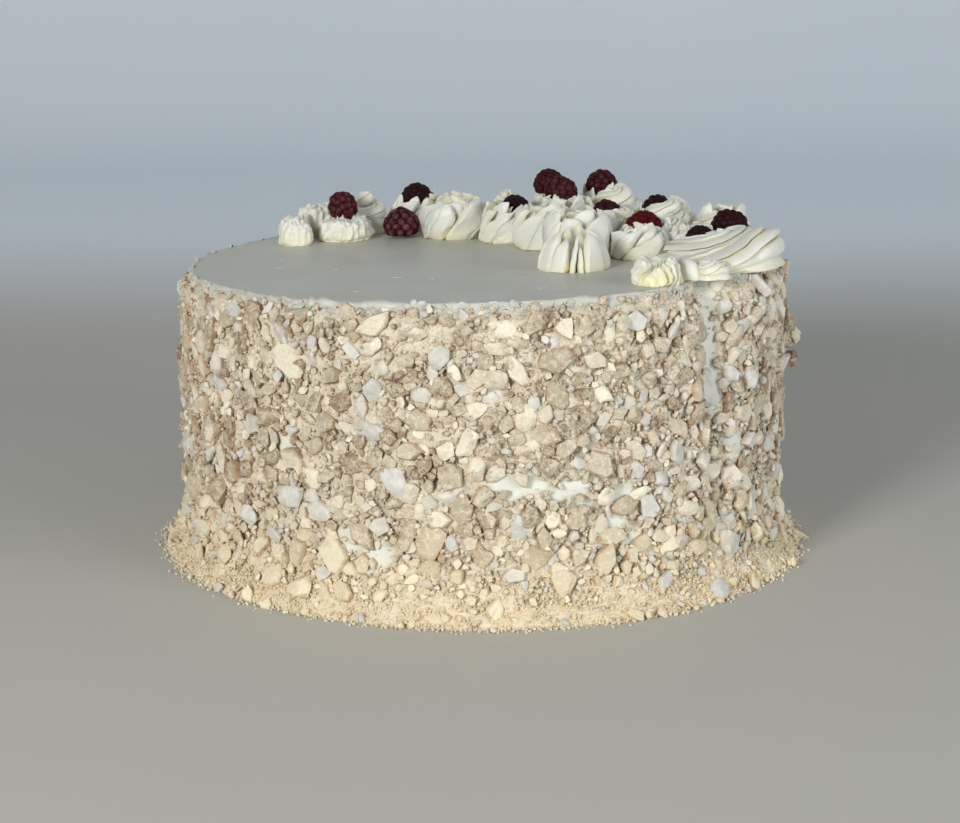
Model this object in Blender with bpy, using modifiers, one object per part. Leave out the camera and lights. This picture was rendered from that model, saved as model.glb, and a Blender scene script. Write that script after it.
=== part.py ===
"""A tall round ice cream cake, coated in crushed meringue, with a crescent of piped cream and berries.

Units are metres and +Z is up. The cake's foot lies on z = 0 around the origin, and the front
faces -Y. The piped cream and the berries stand on the flat top, which leans a little.
"""

import math
import random
from typing import NamedTuple

import bmesh
import bpy
from mathutils import Matrix, Vector

MM = 0.001

# The cake's own sizes.
TOP_HEIGHT = 113.0 * MM
CREAM_RADIUS = 113.0 * MM
COAT_RADIUS = 117.0 * MM
COAT_TOP = 107.5 * MM
WALL_ROWS = 7
SKIRT_RADIUS = 126.5 * MM
SKIRT_HEIGHT = 22.0 * MM
RIM_ROUND = 2.2 * MM
RIM_DROP = 0.8 * MM
SHOULDER_RISE = 1.5 * MM
TURN_STEPS = 72
CRAG_DEPTH = 1.4 * MM
CRAG_SEED = 5
TOP_SLOPE_EAST = 0.029
TOP_SLOPE_NORTH = -0.024

# The cleft down the right side of the front, and the flatter rim left of it.
CLEFT_ANGLE = math.radians(-41.0)
CLEFT_DEPTH = 8.0 * MM
CLEFT_HALF_WIDTH = math.radians(5.2)
FLAT_ANGLE = math.radians(-55.0)
FLAT_DEPTH = 2.2 * MM
FLAT_HALF_WIDTH = math.radians(9.0)

# The lumps of crushed meringue that stand out of the coat.
LUMP_COUNT = 124
LARGEST_LUMP = 22.0 * MM
SMALLEST_LUMP = 9.0 * MM
LUMP_SHRINKING = 0.3
LUMP_SPACING = 0.56
LUMP_TRIES = 90
LUMP_CORNERS = 8
LUMP_HALF_WIDTHS = (0.36, 0.48)
LUMP_HALF_LENGTHS = (0.46, 0.58)
LUMP_HALF_DEPTHS = (0.28, 0.42)
DEEPEST_LUMP = 4.6 * MM
LUMP_PROUD = 0.06
LUMP_TILT = 0.3
LUMP_SEED = 11
GOLDEN_TURN = math.radians(137.5)

# The clump of large lumps that stands out on the right.
CLUMP_ANGLE = math.radians(-2.0)
CLUMP_HEIGHT = 81.0 * MM
CLUMP_SIZE = 20.0 * MM
CLUMP_PROUD = 0.15

# The ridges of the piped cream.
RIDGE_DEPTH = 0.27
RIDGE_FADE = 0.10
TIP_EAST = 0.12
TIP_NORTH = -0.08
SWIRL_TURN = math.radians(37.0)

# Clearances between neighbours, and the berries' relief.
GAP = 0.35 * MM
BERRY_SEGMENTS = 12
BERRY_RINGS = 5
BERRY_RELIEF = 0.07
BERRY_OPEN_END = math.radians(128.0)
BERRY_SQUASH = 0.92
BERRY_CAP = 0.95
FIRST_RING = 0.6
BERRY_TURN = math.radians(53.0)
SOCKET_SEGMENTS = 10
SOCKET_RINGS = 8


class Wave(NamedTuple):
    """One wave of the hand-spread wall: its size, its waves round the cake, and how it climbs."""

    size: float
    around: float
    phase: float
    climb: float


class Swirl(NamedTuple):
    """One piped swirl: its place on the top in mm, its size, and how its ridges wind.

    The crown is the width of its upper part as a share of its radius, and the tilt is how much
    lower its west side is pressed.
    """

    east: float
    north: float
    radius: float
    height: float
    ridges: int
    winding: float
    crown: float
    tilt: float = 0.0


class Berry(NamedTuple):
    """One raspberry: the middle of it over the top in mm, its radius and its lean."""

    east: float
    north: float
    up: float
    radius: float
    lean: float


WAVES = [
    Wave(0.56 * MM, 2.0, 0.7, 0.0),
    Wave(0.42 * MM, 3.0, -1.9, 14.0),
    Wave(0.35 * MM, 7.0, 0.0, 31.0),
    Wave(0.245 * MM, 11.0, 0.0, -47.0),
]

# The inner edge of the crescent, from the left at the back to the right at the front.
INNER_SWIRLS = [
    Swirl(-77.0, 49.0, 7.2, 10.0, 7, 15.0, 0.35),
    Swirl(-57.5, 61.0, 11.2, 9.8, 11, 20.0, 0.70),
    Swirl(-12.0, 60.0, 13.0, 16.5, 8, 45.0, 0.62),
    Swirl(11.0, 43.0, 11.4, 15.5, 7, 60.0, 0.72),
    Swirl(26.0, 22.0, 13.2, 18.0, 8, 45.0, 0.60),
    Swirl(37.0, -7.0, 12.9, 19.0, 8, 40.0, 0.55),
    Swirl(34.5, -37.5, 13.0, 15.0, 8, 12.0, 0.55),
    Swirl(61.0, -12.5, 10.9, 11.5, 7, 70.0, 0.60),
    Swirl(89.0, -38.0, 26.0, 14.8, 12, 60.0, 0.80, 0.35),
    Swirl(63.0, -79.0, 9.2, 10.2, 11, 15.0, 0.60),
    Swirl(84.0, -71.0, 7.0, 7.0, 7, 40.0, 0.50),
]

# The outer edge, from the right round to the left at the back, and the ones between.
OUTER_SWIRLS = [
    Swirl(95.0, 6.0, 14.0, 18.0, 9, 90.0, 0.50),
    Swirl(74.0, 32.0, 12.5, 19.0, 8, 60.0, 0.55),
    Swirl(57.0, 68.0, 15.0, 21.0, 9, 95.0, 0.55),
    Swirl(33.0, 80.0, 11.0, 15.0, 8, 50.0, 0.60),
    Swirl(11.0, 87.0, 10.6, 17.0, 8, 70.0, 0.55),
    Swirl(-8.6, 90.5, 8.9, 14.0, 7, 50.0, 0.40),
    Swirl(-28.5, 88.0, 10.0, 13.5, 8, 40.0, 0.65),
    Swirl(-48.8, 82.0, 10.4, 18.5, 8, 30.0, 0.45),
    Swirl(-70.0, 76.5, 8.3, 12.0, 7, 35.0, 0.40),
    Swirl(-79.0, 63.5, 6.4, 10.5, 6, 20.0, 0.30),
    Swirl(34.0, 52.0, 11.4, 16.0, 8, 45.0, 0.50),
    Swirl(52.0, 38.0, 9.4, 12.5, 7, 55.0, 0.72),
    Swirl(51.0, 14.0, 11.2, 14.0, 8, 60.0, 0.50),
    Swirl(10.0, 66.0, 9.2, 15.0, 7, 50.0, 0.45),
    Swirl(80.0, 55.0, 10.4, 16.0, 8, 65.0, 0.45),
    Swirl(97.0, 30.0, 9.3, 14.5, 7, 75.0, 0.50),
    Swirl(73.0, 9.5, 7.6, 13.0, 6, 55.0, 0.50),
    Swirl(77.5, -6.0, 6.3, 11.0, 6, 60.0, 0.60),
]

BERRIES = [
    Berry(-58.2, 62.0, 14.2, 6.4, 75.0),
    Berry(-34.0, 61.5, 5.3, 7.4, 0.0),
    Berry(-28.0, 90.0, 13.0, 6.6, -20.0),
    Berry(13.5, 46.0, 12.7, 5.9, 15.0),
    Berry(28.4, 82.0, 18.4, 6.4, 25.0),
    Berry(33.0, 66.5, 16.4, 6.9, -10.0),
    Berry(51.0, 84.5, 17.0, 6.7, 20.0),
    Berry(51.0, 41.0, 9.6, 6.5, -15.0),
    Berry(63.5, 1.0, 8.8, 7.6, 15.0),
    Berry(71.2, 38.0, 12.2, 5.8, -25.0),
    Berry(96.2, -8.5, 10.1, 7.2, 10.0),
    Berry(84.0, -16.2, 7.0, 5.4, -12.0),
]


def clear_scene() -> None:
    """Remove every object that a fresh Blender file starts with."""
    for thing in list(bpy.data.objects):
        bpy.data.objects.remove(thing, do_unlink=True)


def new_collection(name: str) -> bpy.types.Collection:
    """Make a collection in the scene."""
    collection = bpy.data.collections.new(name)
    bpy.context.scene.collection.children.link(collection)
    return collection


def new_material(name: str, color: tuple, roughness: float) -> bpy.types.Material:
    """Make a plain Principled material."""
    material = bpy.data.materials.new(name)
    material.use_nodes = True
    shader = material.node_tree.nodes["Principled BSDF"]
    shader.inputs["Base Color"].default_value = (*color, 1.0)
    shader.inputs["Roughness"].default_value = roughness
    material.diffuse_color = (*color, 1.0)
    return material


def new_object(name: str, mesh: bpy.types.Mesh, collection: bpy.types.Collection) -> bpy.types.Object:
    """Put a mesh in a collection as one object."""
    thing = bpy.data.objects.new(name, mesh)
    collection.objects.link(thing)
    return thing


def mesh_of(name: str, builder: bmesh.types.BMesh) -> bpy.types.Mesh:
    """Turn a finished BMesh into a mesh and free it."""
    mesh = bpy.data.meshes.new(name)
    builder.to_mesh(mesh)
    builder.free()
    return mesh


def mark_helper(thing: bpy.types.Object) -> None:
    """Show an object as a wire only, and leave it out of the solids."""
    thing.hide_render = True
    thing.display_type = "WIRE"


def apply_modifiers(thing: bpy.types.Object) -> None:
    """Replace the object's mesh by the one its modifiers make."""
    bpy.context.view_layer.update()
    graph = bpy.context.evaluated_depsgraph_get()
    mesh = bpy.data.meshes.new_from_object(thing.evaluated_get(graph))
    thing.modifiers.clear()
    thing.data = mesh


def bump(offset: float, half_width: float) -> float:
    """A smooth bump that is 1 in the middle and fades to 0 away from it."""
    return math.exp(-((offset / half_width) ** 2))


def waviness(angle: float, height: float) -> float:
    """How far the hand-spread wall stands out or in, in metres."""
    return sum(wave.size * math.sin(wave.around * angle + wave.phase + wave.climb * height) for wave in WAVES)


def cleft(angle: float, height: float) -> float:
    """How far the cleft and the flatter rim go in at a place on the wall, in metres."""
    share_up = min(max(height / TOP_HEIGHT, 0.0), 1.0)
    deep = CLEFT_DEPTH * (0.25 + 0.75 * share_up) * bump(angle - CLEFT_ANGLE, CLEFT_HALF_WIDTH)
    flat = FLAT_DEPTH * share_up * bump(angle - FLAT_ANGLE, FLAT_HALF_WIDTH)
    return deep + flat


def wall_offset(angle: float, height: float) -> float:
    """How far the wall differs from a turned one; nothing at the very foot."""
    foot_share = min(max(height / SKIRT_HEIGHT, 0.0), 1.0)
    return foot_share * (waviness(angle, height) - cleft(angle, height))


def cake_profile() -> list:
    """Radius and height of the outline, from the middle of the top down and round to the foot."""
    rim = TOP_HEIGHT
    top = [
        (0.0, rim),
        (CREAM_RADIUS - RIM_ROUND, rim),
        (CREAM_RADIUS - 0.3 * MM, rim - RIM_DROP),
        (CREAM_RADIUS + 0.5 * MM, COAT_TOP + SHOULDER_RISE),
    ]
    drop = (COAT_TOP - SKIRT_HEIGHT) / WALL_ROWS
    wall = [(COAT_RADIUS, COAT_TOP - row * drop) for row in range(WALL_ROWS + 1)]
    foot = [
        (COAT_RADIUS + 1.6 * MM, 0.55 * SKIRT_HEIGHT),
        (COAT_RADIUS + 4.6 * MM, 0.24 * SKIRT_HEIGHT),
        (SKIRT_RADIUS - 0.8 * MM, 0.07 * SKIRT_HEIGHT),
        (SKIRT_RADIUS, 0.0),
        (0.0, 0.0),
    ]
    return top + wall + foot


def turned_body(collection: bpy.types.Collection) -> bpy.types.Object:
    """Turn the outline of the cake round its upright axis."""
    outline = bmesh.new()
    corners = [outline.verts.new((radius, 0.0, height)) for radius, height in cake_profile()]
    for above, below in zip(corners, corners[1:]):
        outline.edges.new((above, below))
    cake = new_object("cake", mesh_of("cake", outline), collection)
    turn = cake.modifiers.new("turn", "SCREW")
    turn.axis = "Z"
    turn.steps = TURN_STEPS
    turn.render_steps = TURN_STEPS
    turn.use_merge_vertices = True
    turn.merge_threshold = 0.05 * MM
    apply_modifiers(cake)
    return cake


def spread_by_hand(cake: bpy.types.Object) -> None:
    """Give the turned wall its waves, cleft, flat and crags, and lean the top."""
    chance = random.Random(CRAG_SEED)
    for vertex in cake.data.vertices:
        radius = math.hypot(vertex.co.x, vertex.co.y)
        angle = math.atan2(vertex.co.y, vertex.co.x)
        if radius > 0.9 * CREAM_RADIUS:
            outward = wall_offset(angle, vertex.co.z)
            if radius > COAT_RADIUS - 0.1 * MM and vertex.co.z > 0.0:
                outward += chance.uniform(-CRAG_DEPTH, CRAG_DEPTH)
                vertex.co.z += chance.uniform(-CRAG_DEPTH, CRAG_DEPTH) * min(vertex.co.z / SKIRT_HEIGHT, 1.0)
            vertex.co.x *= (radius + outward) / radius
            vertex.co.y *= (radius + outward) / radius
        vertex.co.z *= lean_share(vertex.co.x, vertex.co.y)


def lean_share(east: float, north: float) -> float:
    """How much taller than the middle the cake is at a place."""
    return 1.0 + (TOP_SLOPE_EAST * east + TOP_SLOPE_NORTH * north) / TOP_HEIGHT


def wall_radius(angle: float, height: float) -> float:
    """Distance of the coat from the axis at a place on the wall."""
    rows = [row for row in cake_profile() if row[0] >= CREAM_RADIUS]
    for (upper_radius, upper), (lower_radius, lower) in zip(rows, rows[1:]):
        if lower <= height <= upper:
            share = (height - lower) / (upper - lower)
            return lower_radius + share * (upper_radius - lower_radius) + wall_offset(angle, height)
    return COAT_RADIUS + wall_offset(angle, height)


def lump_mesh(chance: random.Random, size: float) -> bpy.types.Mesh:
    """A crushed lump of meringue: the hull of corners on a flattened ball."""
    width = size * chance.uniform(*LUMP_HALF_WIDTHS)
    length = size * chance.uniform(*LUMP_HALF_LENGTHS)
    thickness = min(size * chance.uniform(*LUMP_HALF_DEPTHS), DEEPEST_LUMP)
    lump = bmesh.new()
    for corner in range(LUMP_CORNERS):
        rise = 1.0 - 2.0 * (corner + 0.5) / LUMP_CORNERS
        turn = corner * GOLDEN_TURN + chance.uniform(-0.5, 0.5)
        reach = math.sqrt(1.0 - rise * rise) * chance.uniform(0.8, 1.15)
        lump.verts.new((length * reach * math.cos(turn), width * reach * math.sin(turn), thickness * rise))
    bmesh.ops.convex_hull(lump, input=list(lump.verts))
    loose = [vertex for vertex in lump.verts if not vertex.link_faces]
    bmesh.ops.delete(lump, geom=loose, context="VERTS")
    bmesh.ops.recalc_face_normals(lump, faces=list(lump.faces))
    return mesh_of("lump", lump)


def lump_places(chance: random.Random) -> list:
    """Angle, height and size of each lump, the largest first, spread evenly."""
    places = [(CLUMP_ANGLE, CLUMP_HEIGHT, CLUMP_SIZE)]
    tries = 0
    while len(places) < LUMP_COUNT and tries < LUMP_TRIES * LUMP_COUNT:
        tries += 1
        share = len(places) / LUMP_COUNT
        size = LARGEST_LUMP * (SMALLEST_LUMP / LARGEST_LUMP) ** (share ** LUMP_SHRINKING)
        angle = chance.uniform(-math.pi, math.pi)
        lowest = 0.5 * size
        height = chance.uniform(lowest, COAT_TOP - 0.35 * size)
        if bump(angle - CLEFT_ANGLE, CLEFT_HALF_WIDTH) > 0.45 and height > 0.3 * TOP_HEIGHT:
            continue
        if all(far_enough(angle, height, size, other) for other in places):
            places.append((angle, height, size))
    return places


def far_enough(angle: float, height: float, size: float, other: tuple) -> bool:
    """Whether a lump keeps clear of another one that already lies on the wall."""
    around = (angle - other[0] + math.pi) % (2.0 * math.pi) - math.pi
    distance = math.hypot(around * COAT_RADIUS, height - other[1])
    return distance > LUMP_SPACING * (size + other[2])


def lump_matrix(chance: random.Random, angle: float, height: float, size: float) -> Matrix:
    """Where a lump lies: half sunk in the wall, turned any way and tilted a little."""
    radius = wall_radius(angle, height) + LUMP_PROUD * size
    if size == CLUMP_SIZE:
        radius += CLUMP_PROUD * size
    east = radius * math.cos(angle)
    north = radius * math.sin(angle)
    place = Matrix.Translation((east, north, height * lean_share(east, north)))
    facing = Matrix.Rotation(angle, 4, "Z") @ Matrix.Rotation(math.radians(90.0), 4, "Y")
    tilt = Matrix.Rotation(chance.uniform(-LUMP_TILT, LUMP_TILT), 4, "X")
    lean = Matrix.Rotation(chance.uniform(-LUMP_TILT, LUMP_TILT), 4, "Y")
    spin = Matrix.Rotation(chance.uniform(-math.pi, math.pi), 4, "Z")
    return place @ facing @ tilt @ lean @ spin


def press_lumps(cake: bpy.types.Object, cutters: bpy.types.Collection) -> None:
    """Join the crushed lumps to the cake in one union."""
    chance = random.Random(LUMP_SEED)
    for number, (angle, height, size) in enumerate(lump_places(chance)):
        lump = new_object(f"lump_{number:03d}", lump_mesh(chance, size), cutters)
        lump.matrix_world = lump_matrix(chance, angle, height, size)
        mark_helper(lump)
    union = cake.modifiers.new("lumps", "BOOLEAN")
    union.operation = "UNION"
    union.operand_type = "COLLECTION"
    union.collection = cutters
    union.solver = "MANIFOLD"
    apply_modifiers(cake)
    for lump in list(cutters.objects):
        bpy.data.objects.remove(lump, do_unlink=True)
    keep_largest_piece(cake.data)
    cake.data.polygons.foreach_set("use_smooth", [False] * len(cake.data.polygons))


def keep_largest_piece(mesh: bpy.types.Mesh) -> None:
    """Drop loose scrap and the walls of sealed hollows: all faces not joined to the largest piece."""
    solid = bmesh.new()
    solid.from_mesh(mesh)
    left = set(solid.verts)
    pieces = []
    while left:
        piece = connected_to(left.pop())
        left -= piece
        pieces.append(piece)
    pieces.sort(key=len)
    scrap = [vertex for piece in pieces[:-1] for vertex in piece]
    bmesh.ops.delete(solid, geom=scrap, context="VERTS")
    solid.to_mesh(mesh)
    solid.free()


def connected_to(start: bmesh.types.BMVert) -> set:
    """Every vertex that edges join to a first one."""
    found = {start}
    waiting = [start]
    while waiting:
        for edge in waiting.pop().link_edges:
            for vertex in edge.verts:
                if vertex not in found:
                    found.add(vertex)
                    waiting.append(vertex)
    return found


def build_cake(collection: bpy.types.Collection, cutters: bpy.types.Collection) -> None:
    """The cream-covered cake with its coat of crushed meringue, one solid."""
    cake = turned_body(collection)
    spread_by_hand(cake)
    press_lumps(cake, cutters)
    cake.data.materials.clear()
    cake.data.materials.append(new_material("meringue_coat", (0.62, 0.52, 0.38), 0.85))


def swirl_levels(swirl: Swirl) -> list:
    """Radius and height of each level of a swirl as shares, from its foot to its tip."""
    crown = swirl.crown
    return [
        (0.90, 0.0),
        (1.0, 0.16),
        (0.97, 0.38),
        (0.5 * (0.94 + crown), 0.64),
        (crown, 0.84),
        (0.55 * crown, 0.94),
    ]


def tilted(swirl: Swirl, side: float, up: float) -> float:
    """Height of a corner at a share of the radius to the east, once the west side is pressed lower."""
    return up * (1.0 + swirl.tilt * side * (1.0 - side))


def ridge_reach(share_up: float, is_crest: bool) -> float:
    """How far out a crest or a valley lies between two ridges, as a share of the radius."""
    depth = RIDGE_DEPTH - RIDGE_FADE * share_up
    return 1.0 if is_crest else 1.0 - depth


def swirl_mesh(swirl: Swirl, facing: float) -> bpy.types.Mesh:
    """Loft a swirl through star-shaped levels that turn as they rise, from the direction it faces."""
    radius = swirl.radius * MM
    height = swirl.height * MM
    corners = 2 * swirl.ridges
    cream = bmesh.new()
    rings = []
    for level_radius, share_up in swirl_levels(swirl):
        ring = []
        for corner in range(corners):
            turn = facing + math.pi * corner / swirl.ridges + math.radians(swirl.winding) * share_up
            reach = level_radius * ridge_reach(share_up, corner % 2 == 0)
            east, north = reach * math.cos(turn), reach * math.sin(turn)
            up = height * tilted(swirl, east, share_up)
            ring.append(cream.verts.new((radius * east, radius * north, up)))
        rings.append(ring)
    for lower, upper in zip(rings, rings[1:]):
        for corner in range(corners):
            after = (corner + 1) % corners
            cream.faces.new((lower[corner], lower[after], upper[after], upper[corner]))
    tip = cream.verts.new((TIP_EAST * radius, TIP_NORTH * radius, height))
    for corner in range(corners):
        cream.faces.new((rings[-1][corner], rings[-1][(corner + 1) % corners], tip))
    cream.faces.new(list(reversed(rings[0])))
    return mesh_of("swirl", cream)


def place_on_top(thing: bpy.types.Object, top: bpy.types.Object, place: tuple) -> None:
    """Stand an object on the leaning top, at a place given in mm: east, north and up."""
    thing.parent = top
    thing.location = Vector(place) * MM


def build_swirls(collection: bpy.types.Collection, top: bpy.types.Object) -> list:
    """Pipe every swirl of the crescent, each a solid of its own."""
    cream = new_material("piped_cream", (0.86, 0.85, 0.74), 0.45)
    swirls = []
    for number, swirl in enumerate(INNER_SWIRLS + OUTER_SWIRLS, start=1):
        thing = new_object(f"swirl_{number:02d}", swirl_mesh(swirl, SWIRL_TURN * number), collection)
        thing.data.materials.append(cream)
        place_on_top(thing, top, (swirl.east, swirl.north, GAP / MM))
        swirls.append(thing)
    return swirls


def berry_mesh(radius: float) -> bpy.types.Mesh:
    """A raspberry lying on its open end: its drupelets are bumps in rings."""
    fruit = bmesh.new()
    rings = []
    for level in range(BERRY_RINGS):
        tilt = BERRY_OPEN_END * (level + FIRST_RING) / (BERRY_RINGS - 1 + FIRST_RING)
        ring = []
        for segment in range(BERRY_SEGMENTS):
            turn = 2.0 * math.pi * segment / BERRY_SEGMENTS
            out = 1.0 - BERRY_RELIEF * ((segment + level) % 2)
            across = radius * out * math.sin(tilt)
            up = BERRY_SQUASH * radius * out * math.cos(tilt)
            ring.append(fruit.verts.new((across * math.cos(turn), across * math.sin(turn), up)))
        rings.append(ring)
    for upper, lower in zip(rings, rings[1:]):
        for segment in range(BERRY_SEGMENTS):
            after = (segment + 1) % BERRY_SEGMENTS
            fruit.faces.new((lower[segment], lower[after], upper[after], upper[segment]))
    cap = fruit.verts.new((0.0, 0.0, BERRY_CAP * radius))
    for segment in range(BERRY_SEGMENTS):
        fruit.faces.new((rings[0][segment], rings[0][(segment + 1) % BERRY_SEGMENTS], cap))
    fruit.faces.new(list(reversed(rings[-1])))
    return mesh_of("berry", fruit)


def build_berries(collection: bpy.types.Collection, top: bpy.types.Object) -> list:
    """Lay every raspberry on the crescent, each a solid of its own."""
    skin = new_material("raspberry", (0.12, 0.012, 0.02), 0.4)
    berries = []
    for number, berry in enumerate(BERRIES, start=1):
        thing = new_object(f"raspberry_{number:02d}", berry_mesh(berry.radius * MM), collection)
        thing.data.materials.append(skin)
        thing.rotation_euler = (math.radians(berry.lean), 0.0, BERRY_TURN * number)
        place_on_top(thing, top, (berry.east, berry.north, berry.up))
        berries.append(thing)
    return berries


def socket_for(berry: Berry, cutters: bpy.types.Collection, top: bpy.types.Object) -> bpy.types.Object:
    """A ball a little larger than a berry, to press its bed into the cream."""
    radius = (berry.radius * MM + GAP) / math.cos(math.pi / SOCKET_SEGMENTS)
    ball = bmesh.new()
    bmesh.ops.create_uvsphere(ball, u_segments=SOCKET_SEGMENTS, v_segments=SOCKET_RINGS, radius=radius)
    socket = new_object("socket", mesh_of("socket", ball), cutters)
    mark_helper(socket)
    place_on_top(socket, top, (berry.east, berry.north, berry.up))
    return socket


def press_berries(swirls: list, cutters: bpy.types.Collection, top: bpy.types.Object) -> None:
    """Press each berry's bed into the swirls that it touches."""
    sizes = INNER_SWIRLS + OUTER_SWIRLS
    for berry in BERRIES:
        socket = socket_for(berry, cutters, top)
        for thing, swirl in zip(swirls, sizes):
            apart = math.hypot(swirl.east - berry.east, swirl.north - berry.north)
            if apart < swirl.radius + berry.radius + GAP / MM:
                cut = thing.modifiers.new(socket.name, "BOOLEAN")
                cut.operation = "DIFFERENCE"
                cut.object = socket
    for thing in swirls:
        if thing.modifiers:
            apply_modifiers(thing)
            keep_largest_piece(thing.data)


def leaning_top(collection: bpy.types.Collection) -> bpy.types.Object:
    """An empty at the middle of the cake's top that leans as the top does."""
    top = bpy.data.objects.new("top_plane", None)
    collection.objects.link(top)
    upright = Vector((-TOP_SLOPE_EAST, -TOP_SLOPE_NORTH, 1.0)).normalized()
    top.rotation_mode = "QUATERNION"
    top.rotation_quaternion = Vector((0.0, 0.0, 1.0)).rotation_difference(upright)
    top.location.z = TOP_HEIGHT
    return top


def main() -> None:
    """Build the whole cake."""
    clear_scene()
    parts = new_collection("raspberry_meringue_cake")
    cutters = new_collection("cutters")
    build_cake(parts, cutters)
    top = leaning_top(parts)
    swirls = build_swirls(parts, top)
    build_berries(parts, top)
    press_berries(swirls, cutters, top)


main()
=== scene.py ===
"""The looks of the raspberry meringue ice cream cake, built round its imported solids.

Units are metres, +Z is up, and the front faces -Y. The wall, the crumbs and the piped cream repeat
the named sizes of the solids, so that each piece stays where its solid is.
"""

from __future__ import annotations

import logging
import math
import random
from dataclasses import dataclass, field, replace
from enum import Enum

import bmesh
import bpy
import numpy as np
from mathutils import Matrix, Vector

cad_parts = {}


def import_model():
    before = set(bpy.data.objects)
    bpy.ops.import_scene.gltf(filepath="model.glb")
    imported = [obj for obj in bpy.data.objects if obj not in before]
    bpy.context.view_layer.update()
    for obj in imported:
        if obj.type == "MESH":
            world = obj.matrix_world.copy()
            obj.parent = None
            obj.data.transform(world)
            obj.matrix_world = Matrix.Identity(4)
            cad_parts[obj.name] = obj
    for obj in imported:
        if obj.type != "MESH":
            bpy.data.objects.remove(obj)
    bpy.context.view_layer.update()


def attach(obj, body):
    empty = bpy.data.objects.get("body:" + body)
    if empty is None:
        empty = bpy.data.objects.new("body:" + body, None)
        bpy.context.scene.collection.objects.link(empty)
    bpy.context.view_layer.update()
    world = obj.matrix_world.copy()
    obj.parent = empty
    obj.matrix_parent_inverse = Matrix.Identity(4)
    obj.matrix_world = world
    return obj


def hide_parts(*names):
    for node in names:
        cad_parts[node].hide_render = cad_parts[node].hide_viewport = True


LOG = logging.getLogger("cake")
MM = 0.001
BODY = "root"

Color = tuple[float, float, float]
Triple = tuple[float, float, float]
Points = np.ndarray
Material = bpy.types.Material
Piece = bpy.types.Object


def srgb(red: int, green: int, blue: int) -> Color:
    """Turn a colour as a screen shows it into the linear one that shaders use.

    Args:
        red: Red from 0 to 255.
        green: Green from 0 to 255.
        blue: Blue from 0 to 255.

    Returns:
        The linear colour.
    """
    shares = [channel / 255.0 for channel in (red, green, blue)]
    linear = [share / 12.92 if share <= 0.04045 else ((share + 0.055) / 1.055) ** 2.4 for share in shares]
    return (linear[0], linear[1], linear[2])


class Wire:
    """A shader value that Python's operators can work on."""

    def __init__(self, finish: Finish, socket: bpy.types.NodeSocket) -> None:
        """Wrap a socket of a finish's nodes."""
        self.finish = finish
        self.socket = socket

    def math(self, operation: str, *values: Wire | float) -> Wire:
        """Add a Math node on values in the order given.

        Args:
            operation: The Math node's operation.
            values: The values of its sockets.

        Returns:
            The node's result.
        """
        inputs = dict(enumerate(values))
        return self.finish.wire(self.finish.node("ShaderNodeMath", {"operation": operation}, inputs))

    def __add__(self, other: Wire | float) -> Wire:
        """Add."""
        return self.math("ADD", self, other)

    def __radd__(self, other: float) -> Wire:
        """Add, with the number first."""
        return self.math("ADD", other, self)

    def __sub__(self, other: Wire | float) -> Wire:
        """Subtract."""
        return self.math("SUBTRACT", self, other)

    def __rsub__(self, other: float) -> Wire:
        """Subtract from a number."""
        return self.math("SUBTRACT", other, self)

    def __mul__(self, other: Wire | float) -> Wire:
        """Multiply."""
        return self.math("MULTIPLY", self, other)

    def __rmul__(self, other: float) -> Wire:
        """Multiply, with the number first."""
        return self.math("MULTIPLY", other, self)

    def step(self, low: float, high: float) -> Wire:
        """Rise smoothly from 0 at low to 1 at high.

        Args:
            low: The value below which the result is 0.
            high: The value above which the result is 1.

        Returns:
            The smooth step.
        """
        inputs = {"Value": self, "From Min": low, "From Max": high}
        node = self.finish.node("ShaderNodeMapRange", {"interpolation_type": "SMOOTHSTEP"}, inputs)
        return self.finish.wire(node)


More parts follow.
